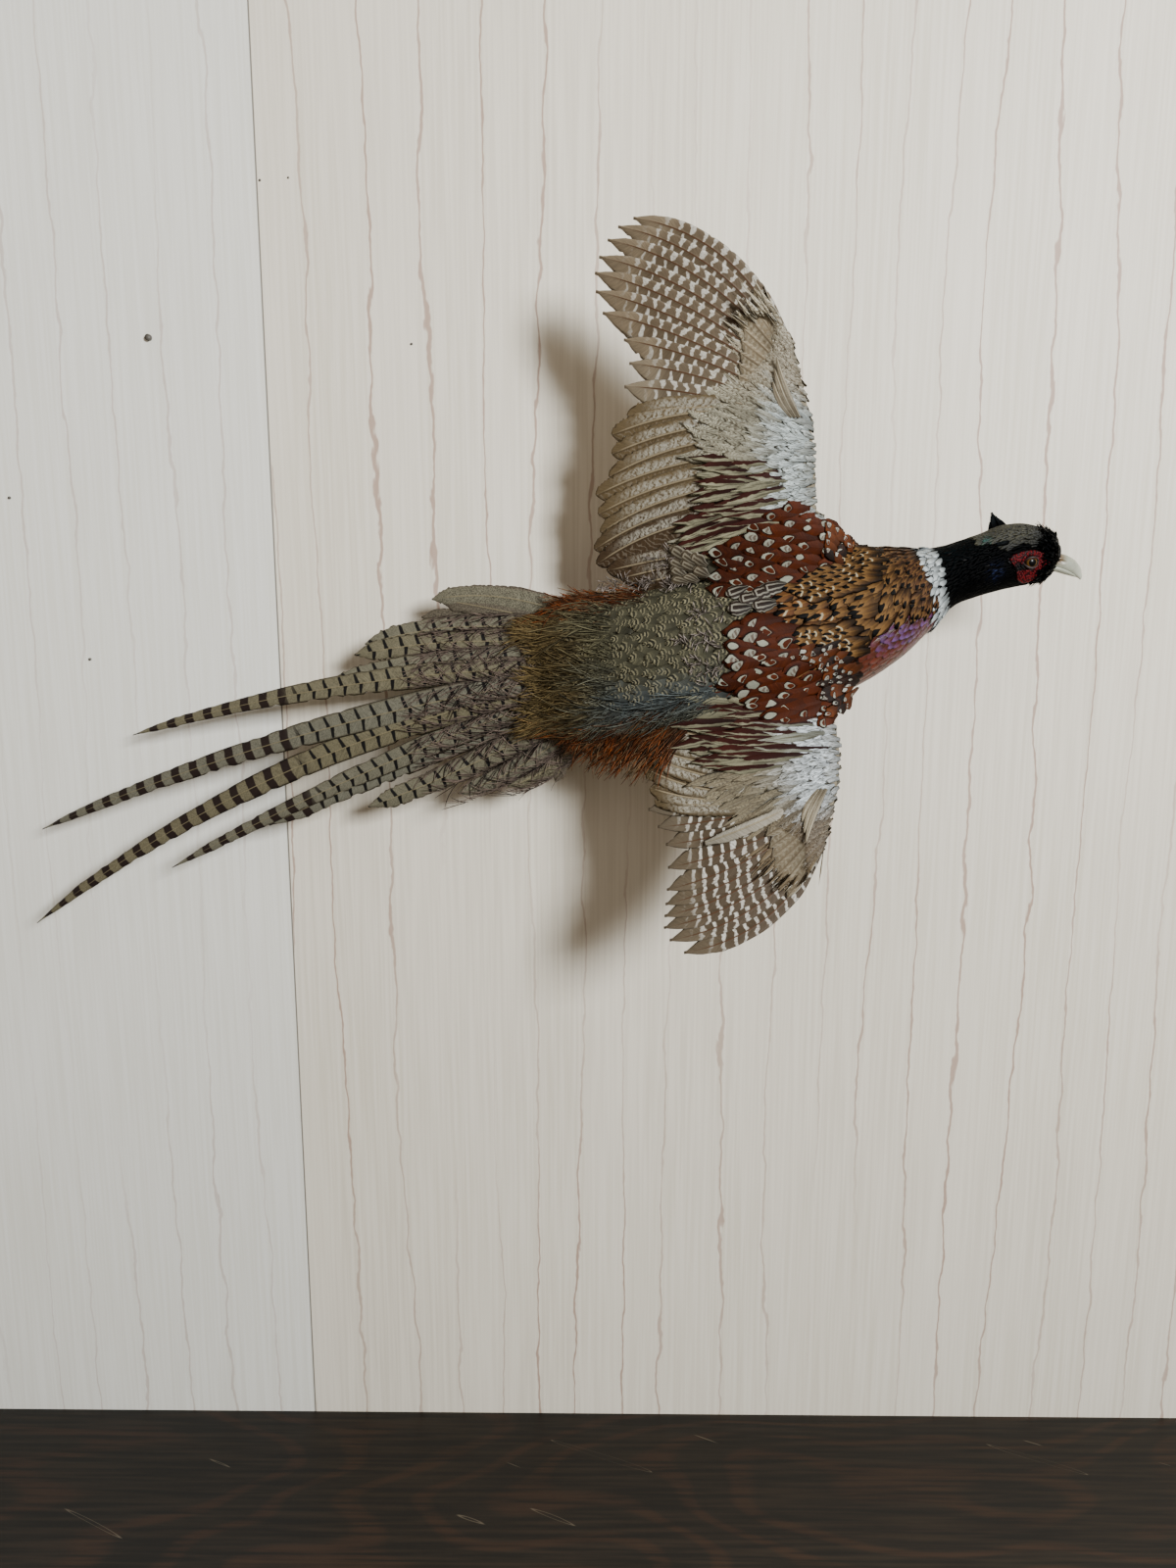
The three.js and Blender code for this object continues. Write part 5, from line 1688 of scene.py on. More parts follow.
def patch_of(columns_rows, pitch, gap, heading, dice):
    """Roots of overlapping feathers whose ends fill an outline, with a direction that may vary."""
    outline = np.array(columns_rows, float)
    x, z = on_sight(outline[:, 0], outline[:, 1])
    line = np.stack([x, z], -1)
    low, high = line.min(0), line.max(0)
    xs, zs = np.arange(low[0], high[0], pitch), np.arange(low[1], high[1], gap)
    i, j = np.meshgrid(np.arange(len(xs)), np.arange(len(zs)), indexing="ij")
    px = xs[i] + dice.normal(0, pitch * 0.12, i.shape)
    pz = zs[j] + 0.5 * gap * (i % 2) + dice.normal(0, gap * 0.12, i.shape)
    keep = edge_distance(line, px, pz) > 0
    px, pz = px[keep], pz[keep]
    heading = heading(px, pz) if callable(heading) else heading
    return px, pz, heading + dice.normal(0, 0.08, len(px))


SHOULDERS = [
    (560, 470), (690, 440), (800, 440), (815, 513), (826, 517), (846, 532), (872, 552), (925, 556),
    (925, 650), (884, 694), (872, 712), (852, 742), (840, 830), (660, 830), (560, 780),
]


def rooted(px, pz, heading, length, dice, **shape):
    """Feathers over the cape with their visible parts at px, pz, shortened where they would root past it."""
    rim = np.stack(on_sight(*np.array(SHOULDERS, float).T), -1)
    length = length * np.ones(len(px))
    hidden = 0.72  # the share of a feather that lies under others

    def roots():
        back = length * hidden
        return px + back * np.cos(heading), pz + back * np.sin(heading)

    for _ in range(7):
        length = np.where(edge_distance(rim, *roots()) > 0.001, length, length * 0.85)
    root_x, root_z = roots()
    shape = {"rows": 10, "columns": 7, "settle": 0.78, **shape}
    one = laid(cape_surface, -root_x, -root_z, heading, length, rng=dice, **shape)
    one["patch"] = np.stack([0.05 + 0.9 * (root_x + 0.2) / 0.33, 0.05 + 0.9 * (root_z + 0.16) / 0.34], -1)
    return one


dice = np.random.default_rng(61)
scapulars = []
left_patch = [(716, 592), (724, 572), (748, 548), (772, 528), (800, 518), (818, 516), (838, 530), (866, 552),
              (846, 572), (812, 590), (776, 604), (738, 610)]
right_patch = [(738, 694), (752, 676), (790, 664), (838, 664), (846, 690), (846, 738),
               (800, 736), (768, 726), (748, 716)]
edge_patch = [(732, 636), (780, 634), (800, 648), (812, 668), (790, 674), (752, 680), (736, 672)]
for outline, aim, swing in ((left_patch, -0.05, -0.75), (right_patch, 0.20, 0.60), (edge_patch, 0.10, 0)):
    turned = lambda x, z, aim=aim, swing=swing: aim + swing * ease(0.035, 0.085, x)
    px, pz, heading = patch_of(outline, 0.0128, 0.0104, turned, dice)
    front = ease(0.02, 0.07, px)
    length = (0.036 - 0.015 * front) * dice.normal(1, 0.05, len(px))
    one = rooted(px, pz, heading, length, dice, width=0.0175 - 0.0050 * front,
                 base=0.0016, lift=0.11 + 0.02 * dice.random(len(px)), fringe=0.05, blunt=0.7)
    shade = dice.normal(1, 0.14, (len(px), 1))
    one["ground"] = mixed(tint(90, 38, 13), tint(54, 26, 18), 0.5 * ease(0.03, -0.03, px)) * shade
    one["mark"] = tint(176, 178, 160) * dice.normal(1, 0.14, (len(px), 1))
    one["sort"] = (dice.random(len(px)) < 0.5 - 0.35 * (swing > 0)) * 1.0
    scapulars.append(one)
# The smallest, at the front of both shoulders, are scaly: dark with one white crescent each.
for outline, aim in (
    ([(812, 664), (846, 658), (862, 674), (868, 692), (864, 712), (852, 728), (842, 730), (838, 690)], 0.55),
    ([(838, 534), (848, 538), (862, 554), (852, 574), (836, 562)], -0.8),
):
    px, pz, heading = patch_of(outline, 0.0062, 0.0060, aim, dice)
    one = rooted(px, pz, heading, 0.0165, dice, width=0.0092, rows=9, base=0.0028, lift=0.14,
                 fringe=0.15, blunt=0.6)
    black = (dice.random(len(px)) < 0.5 - 0.3 * (aim < 0)) * 1.0
    one["ground"] = mixed(tint(104, 54, 24), tint(44, 34, 30), black) * dice.normal(1, 0.15, (len(px), 1))
    one["mark"] = tint(188, 188, 176) * dice.normal(1, 0.12, (len(px), 1))
    one["sort"] = (dice.random(len(px)) < 0.7) * 1.0
    scapulars.append(one)
feather_piece("coat_scapulars", scapulars, scapular_look, "mantle_feathers")
loops = []
for outline, aim, pitch, length, width, dark, pale, sort in (
    ([(734, 612), (748, 602), (784, 598), (792, 607), (772, 622), (744, 628)],
     0.30, 0.0098, 0.0195, 0.0130, tint(56, 42, 34), tint(186, 182, 166), 1.0),
    ([(676, 590), (678, 566), (700, 554), (714, 562), (716, 588), (700, 596)],
     -0.5, 0.0082, 0.0180, 0.0115, tint(92, 80, 62), tint(168, 160, 140), 0.4),
):
    px, pz, heading = patch_of(outline, pitch, pitch * 0.95, aim, dice)
    one = rooted(px, pz, heading, length, dice, width=width, base=0.0030, lift=0.12, fringe=0.04, blunt=0.75)
    one["ground"], one["mark"] = dark * dice.normal(1, 0.1, (len(px), 1)), pale
    one["sort"] = np.full(len(px), sort)
    loops.append(one)
feather_piece("coat_loops", loops, loop_look, "mantle_feathers")

# Gold feathers of the mantle run on over the front of both shoulders.
shoulders = []
for outline, aim, rust in (
    ([(800, 602), (826, 584), (856, 564), (880, 558), (892, 580), (872, 600), (830, 616)], 0.10, 0),
    ([(806, 640), (860, 640), (874, 658), (870, 672), (846, 662), (812, 656)], 0.25, 0),
    ([(850, 542), (870, 557), (882, 563), (866, 570)], -0.35, 1),
    ([(862, 672), (872, 682), (868, 696), (860, 690)], 0.75, 1),
):
    px, pz, heading = patch_of(outline, 0.0060, 0.0056, aim, dice)
    one = rooted(px, pz, heading, 0.021 - 0.006 * rust, dice, width=0.0094, rows=9,
                 base=0.0024 - 0.0008 * rust, lift=0.13 - 0.05 * rust, fringe=0.12)
    one["ground"] = mixed(GOLD, tint(112, 58, 28), rust) * dice.normal(1, 0.16, (len(px), 1))
    one["mark"] = mixed(BUFF, tint(150, 84, 42), rust) * dice.normal(1, 0.12, (len(px), 1))
    one["sort"] = (dice.random(len(px)) < 0.4) * 1.0
    shoulders.append(one)
feather_piece("coat_shoulders", shoulders, mantle_look, "mantle_feathers")

# ---- Striped coverts -------------------------------------------------------
# Long narrow feathers over the inner wing, cream down the middle and maroon at the sides, which fan out
# over the bases of the secondaries.


def paint_stripe(vane, barbs):
    wobble = noise((vane.along * 4, 0.0, vane.seed * 50), 1.0) - 0.5
    cream = (vane.across + wobble * 1.2 + vane.sort).step(-0.10, 0.06)
    strokes = spots(vane, vane.along * 3, 5, 30, 3.0)
    pale = blend(strokes.step(0.44, 0.62), vane.ground, tint(112, 108, 88))
    colour = blend(cream, vane.mark, pale)
    return blend(vane.side.step(0.82, 1.0) * 0.5, colour, tint(96, 76, 56))


stripe_look = feather_look("striped_coverts", paint_stripe, roughness=0.6, shine=0.2, depth=0.8)
dice = np.random.default_rng(62)
striped = []
upper_fan = [
    (680, 564), (676, 546), (716, 516), (706, 486), (716, 466), (756, 458), (776, 470), (784, 500),
    (770, 522), (742, 550), (712, 568),
]
lower_fan = [
    (690, 768), (690, 742), (710, 712), (750, 708), (784, 728), (794, 744), (786, 770), (756, 790),
    (726, 790),
]
for outline, fan in (
    (upper_fan, lambda x, z: -0.16 + (0.150 - z) * 7.0),
    (lower_fan, lambda x, z: 0.12 + (z + 0.085) * -4.0),
):
    px, pz, heading = patch_of(outline, 0.0140, 0.0062, fan, dice)
    front = ease(0.0, 0.035, px)
    length = 0.052 * dice.normal(1, 0.16, len(px))
    base = 0.0012 + 0.0008 * dice.random(len(px))
    one = rooted(px, pz, heading, length, dice, width=0.0098, rows=12, base=base, lift=0.05, settle=0.8,
                 fringe=0.25, narrow=0.45, blunt=0.5)
    shade = dice.normal(1, 0.10, (len(px), 1))
    one["ground"] = mixed(tint(176, 172, 142), tint(184, 190, 180), front) * shade
    one["mark"] = tint(58, 22, 16) * dice.normal(1, 0.2, (len(px), 1))
    low = float(outline[0][1] > 700)
    one["sort"] = np.where(dice.random(len(px)) < (0.10 + 0.65 * front) * (1 - 0.4 * low), 1.2, -0.22 * low)
    # Painted shade: the fan on the lower wing is painted a quarter darker than the same feathers on the upper
    # wing.
    one["ground"] *= 1 - 0.25 * low
    striped.append(one)
feather_piece("coverts_striped", striped, stripe_look, "wing_coverts")

# ---- Rump plumes -----------------------------------------------------------
# Loose hair-like barbs hang from the rump over the roots of the tail, olive and grey above and rust-orange
# at both edges.


def paint_hair(vane, barbs):
    return blend(vane.along.step(0.1, 0.9), vane.ground, vane.mark)


def hair_look(name, depth):
    return feather_look(name, paint_hair, roughness=0.65, shine=0.2, shade=0.2, relief=0.0, depth=depth)


HAIR = {"rows": 6, "columns": 2, "camber": 0.0, "narrow": 0.8, "fringe": 0.0, "thick": 0.0003}
plume_look = hair_look("rump_plumes", 0.95)
dice = np.random.default_rng(63)


def plume_surface(aft, aside, height):
    """The rump, carried on past its end where the plumes sink onto the tail."""
    beyond = np.maximum(0, np.asarray(aft) + 0.05)
    on = body_surface(np.minimum(aft, -0.05), aside, height)
    axes = body_axes(np.array([0.05]))
    on = on - axes[1][0] * (0.031 * beyond)[..., None]
    bed = tail_point(on[..., 0], on[..., 2], 0.0065 + np.asarray(height) * 0.8)
    sink = ease(0.0, 2.2, beyond)[..., None]
    on[..., 1:2] = on[..., 1:2] * (1 - sink) + np.minimum(bed[..., 1:2], on[..., 1:2] + 0.02) * sink
    return on


count = 5600
place = 0.15 + 1.75 * dice.random(count) ** 1.2
angle = dice.uniform(-1.70, 1.95, count)
flank = dice.random(count) < 0.26
place = np.where(flank, dice.uniform(1.2, 3.3, count), place)
angle = np.where(flank, dice.uniform(0.55, 1.95, count), angle)
# Next to the tail only the upper face bears plumes.
edge = 1.05 + 0.75 * ease(0.3, 1.1, place)
long = dice.random(count) ** 3
angle = np.where(np.abs(angle) > edge, angle * 0.5, angle)
lock = 0.22 * np.sin(angle * 17 + place * 5) + 0.16 * np.sin(angle * 31 - place * 9)
heading = -0.10 + 0.95 * ease(0.2, 1.5, angle) * ease(0.0, 1.6, place) - 0.25 * ease(-0.6, -1.5, angle)
heading = heading + 0.32 * angle * ease(1.4, 0.2, place)
heading = heading + lock + dice.normal(0, 0.10, count)
ragged = 1 + 0.30 * np.sin(angle * 9 + 1.0) + 0.25 * np.sin(angle * 4 - 0.6)
length = (0.013 + 0.045 * long) * (1 - 0.4 * ease(1.0, 2.6, place)) * ragged
length = length + 0.030 * dice.random(count) ** 4 * ease(1.0, 0.4, place)
length = length * (0.58 + 0.42 * ease(0.2, 1.2, place))
width = dice.uniform(0.0005, 0.0010, count)
plumes = laid(plume_surface, -place, angle, heading, length, width, dice,
              base=dice.uniform(0.0005, 0.0025, count),
              lift=dice.uniform(0.10, 0.26, count), settle=0.72, blunt=0.5, bow=dice.normal(0, 0.16, count),
              **HAIR)
rust = np.maximum(ease(0.80, 1.20, angle + 0.15 * dice.normal(0, 1, count)),
                  ease(-0.90, -1.3, angle + 0.2 * dice.normal(0, 1, count)))
rust = rust * ease(2.4, 1.6, place) * ease(0.2, 0.9, place)
slate = np.exp(-((angle - 0.55) / 0.42) ** 2) * ease(1.3, 2.0, place)
olive = mixed(tint(106, 90, 58), tint(108, 104, 80), ease(0.8, 1.8, place))
olive = mixed(olive, tint(92, 100, 100), slate)
shade = dice.normal(1, 0.42, (count, 1)).clip(0.35, 2.2)
plumes["ground"] = mixed(olive, tint(104, 46, 10), rust) * shade * 0.8
plumes["mark"] = mixed(olive * 1.2, tint(140, 68, 20), rust) * shade
plumes["patch"] = body_patch(-place, angle)
tufts = []
# Rust-orange plumes hang clear of the rump at both edges.
for outline, aim, longest in (
    ([(566, 612), (600, 606), (650, 602), (652, 616), (600, 624), (562, 626)], -0.12, 0.034),
    ([(572, 726), (620, 722), (690, 712), (694, 742), (680, 762), (630, 764), (584, 752)], 0.85, 0.046),
):
    px, pz, heading = patch_of(outline, 0.0017, 0.0017, lambda x, z, aim=aim: aim + 0.12 * np.sin(x * 400),
                               dice)
    many = len(px)
    one = laid(cape_surface, -px - 0.010, -pz, heading + dice.normal(0, 0.09, many),
               dice.uniform(0.4, 1, many) * longest,
               dice.uniform(0.0006, 0.0011, many), dice, base=dice.uniform(-0.001, 0.002, many),
               lift=dice.uniform(0.02, 0.12, many), settle=0.7, blunt=0.5, bow=dice.normal(0, 0.14, many),
               **HAIR)
    shade = dice.normal(1, 0.35, (many, 1)).clip(0.3, 2.0)
    dull = dice.random(many) ** 2 * 0.9
    one["ground"] = mixed(tint(76, 36, 12), tint(70, 62, 44), dull) * shade
    one["mark"] = mixed(tint(124, 62, 22), tint(104, 96, 72), dull) * shade
    one["patch"] = body_patch(-(px + 0.12) * 18, pz * 9)
    tufts.append(one)
# Pale down shows through beside the shoulders and over the thighs.
for outline in ([(600, 600), (640, 590), (700, 588), (700, 604), (650, 612), (606, 612)],
                [(650, 598), (656, 576), (690, 556), (716, 560), (724, 592), (700, 602)],
                [(690, 660), (704, 636), (720, 604), (738, 606), (742, 640), (740, 690), (716, 704)]):
    px, pz, heading = patch_of(outline, 0.0026, 0.0026, 0, dice)
    kept = np.sin(px * 260 + 3 * np.sin(pz * 190)) + np.sin(pz * 310) + dice.normal(0, 0.4, len(px)) > 0.5
    px, pz = px[kept], pz[kept]
    many = len(px)
    heading, length = dice.uniform(-1.6, 1.6, many), dice.uniform(0.005, 0.012, many)
    one = laid(cape_surface, -px, -pz, heading, length, 0.0009, dice, base=dice.uniform(0.001, 0.003, many),
               lift=dice.uniform(0.1, 0.3, many), settle=0.7, bow=dice.normal(0, 0.3, many), **HAIR)
    one["ground"] = tint(104, 94, 86) * dice.normal(1, 0.15, (many, 1))
    one["mark"] = tint(158, 147, 140) * dice.normal(1, 0.12, (many, 1))
    one["patch"] = body_patch(-(px + 0.1) * 20, pz * 10)
    tufts.append(one)
feather_piece("rump_plumes", [plumes], plume_look, "rump_feathers")
feather_piece("rump_down", tufts, plume_look, "rump_feathers")

# ---- Fringe of the tail ----------------------------------------------------
# Near the rump the vanes of the tail end in loose mauve barbs, dark where a bar runs out into them.
# Each barb is a fine hair-like strip that leaves the edge of its feather at a slant.

fringe_look = hair_look("tail_fringe", 0.66)
dice = np.random.default_rng(64)


def tail_surface(aft, aside, height):
    return tail_point(-aft, -aside, height)


fringes = []
for x, z, bow, half, layer, row in TAIL[1:]:
    whole = np.hypot(x - TAIL_ROOT[0], z - TAIL_ROOT[1])
    count = 160
    reach = min(1.0, 0.150 / whole)
    share = 0.04 + (reach - 0.04) * dice.random(count) ** 1.2
    side = np.where(dice.random(count) < 0.5, -1.0, 1.0)
    at, along, whole = bowed((TAIL_ROOT[0], TAIL_ROOT[2] + row * 0.006), (x, z), -bow, share)
    across = np.stack([-along[:, 1], along[:, 0]], -1)
    start = at + across * (side * half * 0.80)[:, None]
    bearing = np.arctan2(-along[:, 1], -along[:, 0]) + side * -(0.42 + dice.normal(0, 0.2, count))
    one = laid(tail_surface, -start[:, 0], -start[:, 1], bearing, dice.uniform(0.012, 0.030, count),
               dice.uniform(0.0004, 0.0007, count), dice,
               base=-0.0011 * layer + dice.uniform(0.0003, 0.0016, count),
               lift=dice.uniform(0.02, 0.12, count), settle=0.5, bow=dice.normal(0, 0.2, count),
               **{**HAIR, "rows": 5, "thick": 0.00025})
    bar = (np.abs((share * whole / 0.0140 + 0.3) % 1 - 0.5) * 2 < 0.22)[:, None]
    mauve = tint(140, 122, 110) * dice.normal(1, 0.18, (count, 1))
    one["ground"] = np.where(bar, tint(40, 28, 28), mauve)
    one["mark"] = np.where(bar, tint(52, 36, 34), mauve * 1.2)
    one["patch"] = np.stack([0.1 + 0.8 * share, 0.1 + 0.8 * dice.random(count)], -1)
    fringes.append(one)
feather_piece("tail_fringe", fringes, fringe_look, "tail_feathers")

# ---- Alulas ----------------------------------------------------------------
# Three stiff small feathers lie over the front of each hand, the longest on top. They are rooted in the
# skin at the wrist and coloured like the coverts round them.


def alula_outline(share, order):
    width = np.sqrt(np.maximum(0.02, 1 - share ** 2.2)) * (0.5 + 0.5 * ease(0, 0.3, share))
    return 0.0016 * width, 0.0040 * width


for name, wing in WINGS.items():
    dice = np.random.default_rng(71 if name == "left" else 72)
    wrist = wing["wrist"][0]
    lines = []
    for k, reach in enumerate((0.046, 0.038, 0.029)):
        start = (wrist + 0.004, float(leading_chord(wing, wrist)) + 0.009 + 0.003 * k)
        tip = (wrist + reach, float(leading_chord(wing, wrist + reach)) + 0.014 + 0.004 * k)
        lines.append((start, tip, 0.003, 0.0060 - 0.0006 * k, k))
    one = wing_vanes(wing, lines, alula_outline, dice, rows=24, shaft=0.0004)
    one["ground"], one["mark"] = tint(180, 170, 148), tint(134, 120, 98)
    one["atlas"] = strips(3)
    feather_piece("alula_feathers_" + name, [one], covert_look, "flight_feathers", f"wing_{name}_alula")

# ---- Ear tufts -------------------------------------------------------------
# Each side of the crown ends in a short erect tuft of narrow black feathers. They are rooted in a long
# oval patch of skin behind the eye and lean together to one point.

TUFTS = {
    "left": {"place": 10.9, "angle": -0.5, "lift": 0.0175, "lean": 0.1, "wide": 0.0090},
    "right": {"place": 10.7, "angle": 0.95, "lift": 0.0130, "lean": 1.5, "wide": 0.0050},
}
for name, tuft in TUFTS.items():
    dice = np.random.default_rng(81 if name == "left" else 82)
    place, angle = np.array([tuft["place"]]), np.array([tuft["angle"]])
    centre, forward = (v[0] for v in body_axes(place)[:2])
    root = body_point(place, angle, -0.003)[0]
    rise = unit(unit(root - centre) - forward * tuft["lean"])
    across = unit(forward - rise * (forward @ rise))
    through = np.cross(across, rise)
    count = 90
    spread_at = np.sqrt(dice.random(count)) * np.where(dice.random(count) < 0.5, -1, 1)
    depth_at = dice.uniform(-1, 1, count) * np.sqrt(1 - spread_at ** 2)
    roots = root + across * (spread_at * tuft["wide"] * 0.8)[:, None] + through * (depth_at * 0.0019)[:, None]
    point = root + rise * tuft["lift"] * 0.99 - across * 0.0005
    full = (1 - 0.62 * np.abs(spread_at)) * dice.uniform(0.75, 1.0, count)
    aim = unit(point + through * (depth_at * 0.0004)[:, None] + across * (spread_at * 0.0016)[:, None]
               - roots)
    length = np.linalg.norm(point - roots, axis=1) * full
    face = unit(np.cross(aim, across)) * np.where(depth_at > 0, 1, -1)[:, None]
    side = np.cross(face, aim)
    u = np.linspace(0, 1, 6)
    v = np.linspace(-1, 1, 3)
    half = 0.0012 * np.sqrt(1 - 0.9 * u ** 2)
    top = (roots[:, None, None] + aim[:, None, None] * (length[:, None, None] * u[None, :, None])[..., None]
           + side[:, None, None] * (half[None, :, None] * v)[..., None]
           - face[:, None, None] * (0.0002 * v * v + 0 * u[None, :, None])[..., None])
    under = top[:, :, 1] - face[:, None] * 0.00025
    one = feather_set(top, under, u[:, None], v, length, 0.0012, dice)
    one["ground"], one["mark"] = tint(10, 12, 14), tint(24, 28, 30)
    patch = body_patch(-np.full(count, tuft["place"]), np.full(count, tuft["angle"]))
    one["patch"] = patch + 0.01 * dice.random((count, 2))
    feather_piece("ear_tuft_feathers_" + name, [one], neck_look, "neck_feathers", "ear_tuft_" + name)

# ---- Eyes ------------------------------------------------------------------
# Glass eyes: a black pupil in an amber iris with a dark rim, painted behind a domed front. Each is set
# in the socket of the skin, and dark lids are modelled round it.


def eye_look():
    material, tree, surface = new_look("glass_eye", 0.34, 0.12)
    reach, x, y = attribute(tree, "dial", "Vector").split()
    rays = noise((x * 7, y * 7, reach * 1.5), 1.2, 3.0)
    iris = blend(rays.step(0.35, 0.65), tint(62, 40, 14), tint(104, 72, 26))
    iris = blend(reach.step(3.7, 4.4), iris, tint(40, 25, 12))
    colour = coats(iris, (reach.step(4.5, 4.75), tint(26, 16, 12)), (reach.step(3.05, 2.9), tint(5, 5, 6)))
    plug(surface.inputs["Base Color"], colour)
    surface.inputs["Coat Weight"].default_value = 0.10
    surface.inputs["Coat Roughness"].default_value = 0.04
    return material


def plain_look(name, colour, roughness, shine=0.4):
    material, _, surface = new_look(name, roughness, shine)
    plug(surface.inputs["Base Color"], colour)
    return material


def revolved(name, middle, axis, right, up, profile, around=64):
    """A closed form turned about an axis from pairs of radius and height; both ends lie on the axis."""
    angle = np.linspace(0, 2 * math.pi, around, endpoint=False)
    spoke = right * np.cos(angle)[:, None] + up * np.sin(angle)[:, None]
    rings = [middle + axis * height + spoke * radius for radius, height in profile[1:-1]]
    points = np.concatenate([[middle + axis * profile[0][1]], *rings, [middle + axis * profile[-1][1]]])
    k = np.arange(around)
    n = (k + 1) % around
    count = len(rings)
    first = np.stack([np.zeros_like(k), 1 + n, 1 + k], -1)
    end = 1 + (count - 1) * around
    last = np.stack([np.full_like(k, end + around), end + k, end + n], -1)
    quads = [np.stack([at + k, at + n, at + around + n, at + around + k], -1) for at in range(1, end, around)]
    return new_mesh(name, points, [np.concatenate(quads), first, last])


def ring_faces(around, across):
    """Quads of a form that closes on itself both ways."""
    a, b = np.meshgrid(np.arange(around), np.arange(across), indexing="ij")
    c, d = (a + 1) % around, (b + 1) % across
    return np.stack([a * across + b, c * across + b, c * across + d, a * across + d], -1).reshape(-1, 4)


def eye_frame(side):
    """An eye's middle, its line of sight, and the forward and up directions across it."""
    middle, forward, back, outward = eye_axes(side)
    sight = unit(outward * 0.97 + forward * 0.12 + back * 0.04)
    ahead = unit(forward - sight * (forward @ sight))
    return middle, sight, ahead, np.cross(sight, ahead) * side


glass_eye = eye_look()
lid_skin = plain_look("lid", tint(38, 22, 22), 0.5)
for name, side in SIDES.items():
    middle, sight, ahead, up = eye_frame(side)
    turn = np.linspace(0, math.pi, 26)
    radius = EYE["radius"] - 0.0002
    profile = [(radius * math.sin(t), radius * math.cos(t) * (1 if t < 1.2 else 0.6)) for t in turn]
    piece = revolved("glass_eye_" + name, middle - sight * 0.0002, sight, ahead, up, profile)
    turned_out(piece)
    points = np.array([v.co for v in piece.data.vertices]) - middle
    dial = np.stack([np.linalg.norm(points - (points @ sight)[:, None] * sight, axis=1),
                     points @ ahead, points @ up], -1) * 1000
    dial[(points @ sight) < 0, 0] = 9
    dial[:, 1:] /= np.maximum(dial[:, :1], 0.3)
    stored = piece.data.attributes.new("dial", "FLOAT_VECTOR", "POINT")
    stored.data.foreach_set("vector", dial.ravel().astype(np.float32))
    fitted(piece, glass_eye, "glass_eye", "eye_" + name)
    # Lids: a soft rim drawn to a point in front and behind.
    ring = np.linspace(0, 2 * math.pi, 72, endpoint=False)
    tube = np.linspace(0, 2 * math.pi, 12, endpoint=False)
    wide, high = 0.0053 + 0.0007 * np.abs(np.cos(ring)) ** 6, 0.0040
    thick = 0.00085
    out = ahead * (np.cos(ring) * wide)[:, None] + up * (np.sin(ring) * high)[:, None]
    level = np.sqrt(np.maximum(EYE["radius"] ** 2 - (out ** 2).sum(1), 0.0014 ** 2)) + 0.0001
    spoke = unit(out)
    rings = (middle + out + sight * level[:, None])[:, None] + thick * (
        spoke[:, None] * np.cos(tube)[:, None] + sight * np.sin(tube)[:, None])
    lid = new_mesh("lid_" + name, rings.reshape(-1, 3), [ring_faces(len(ring), len(tube))])
    fitted(turned_out(lid), lid_skin, "wattle_skin")

# ---- Wattles ---------------------------------------------------------------
# Bare red skin round each eye, closely set with small rounded papillae and thicker at the lobe. It is
# a closed sheet that lies on the skin of the head and ends at the lids.


def wattle_look():
    material, tree, surface = new_look("wattle", 0.5, 0.14)
    rise = attribute(tree, "rise", "Fac")
    # Painted shade and light: the skin is painted near-black where it lies low, between the papillae and at
    # the outer rim, and red on the papillae's tops. Where rise falls below zero, the black feathers of the
    # streak behind the eye are painted.
    colour = blend(rise.step(0.0, 1.0), tint(20, 1, 3), tint(92, 7, 14))
    colour = blend(rise.step(-0.1, -0.5), colour, tint(8, 6, 7))
    plug(surface.inputs["Base Color"], colour)
    surface.inputs["Subsurface Weight"].default_value = 0.05
    surface.inputs["Subsurface Radius"].default_value = (0.002, 0.0006, 0.0004)
    return material


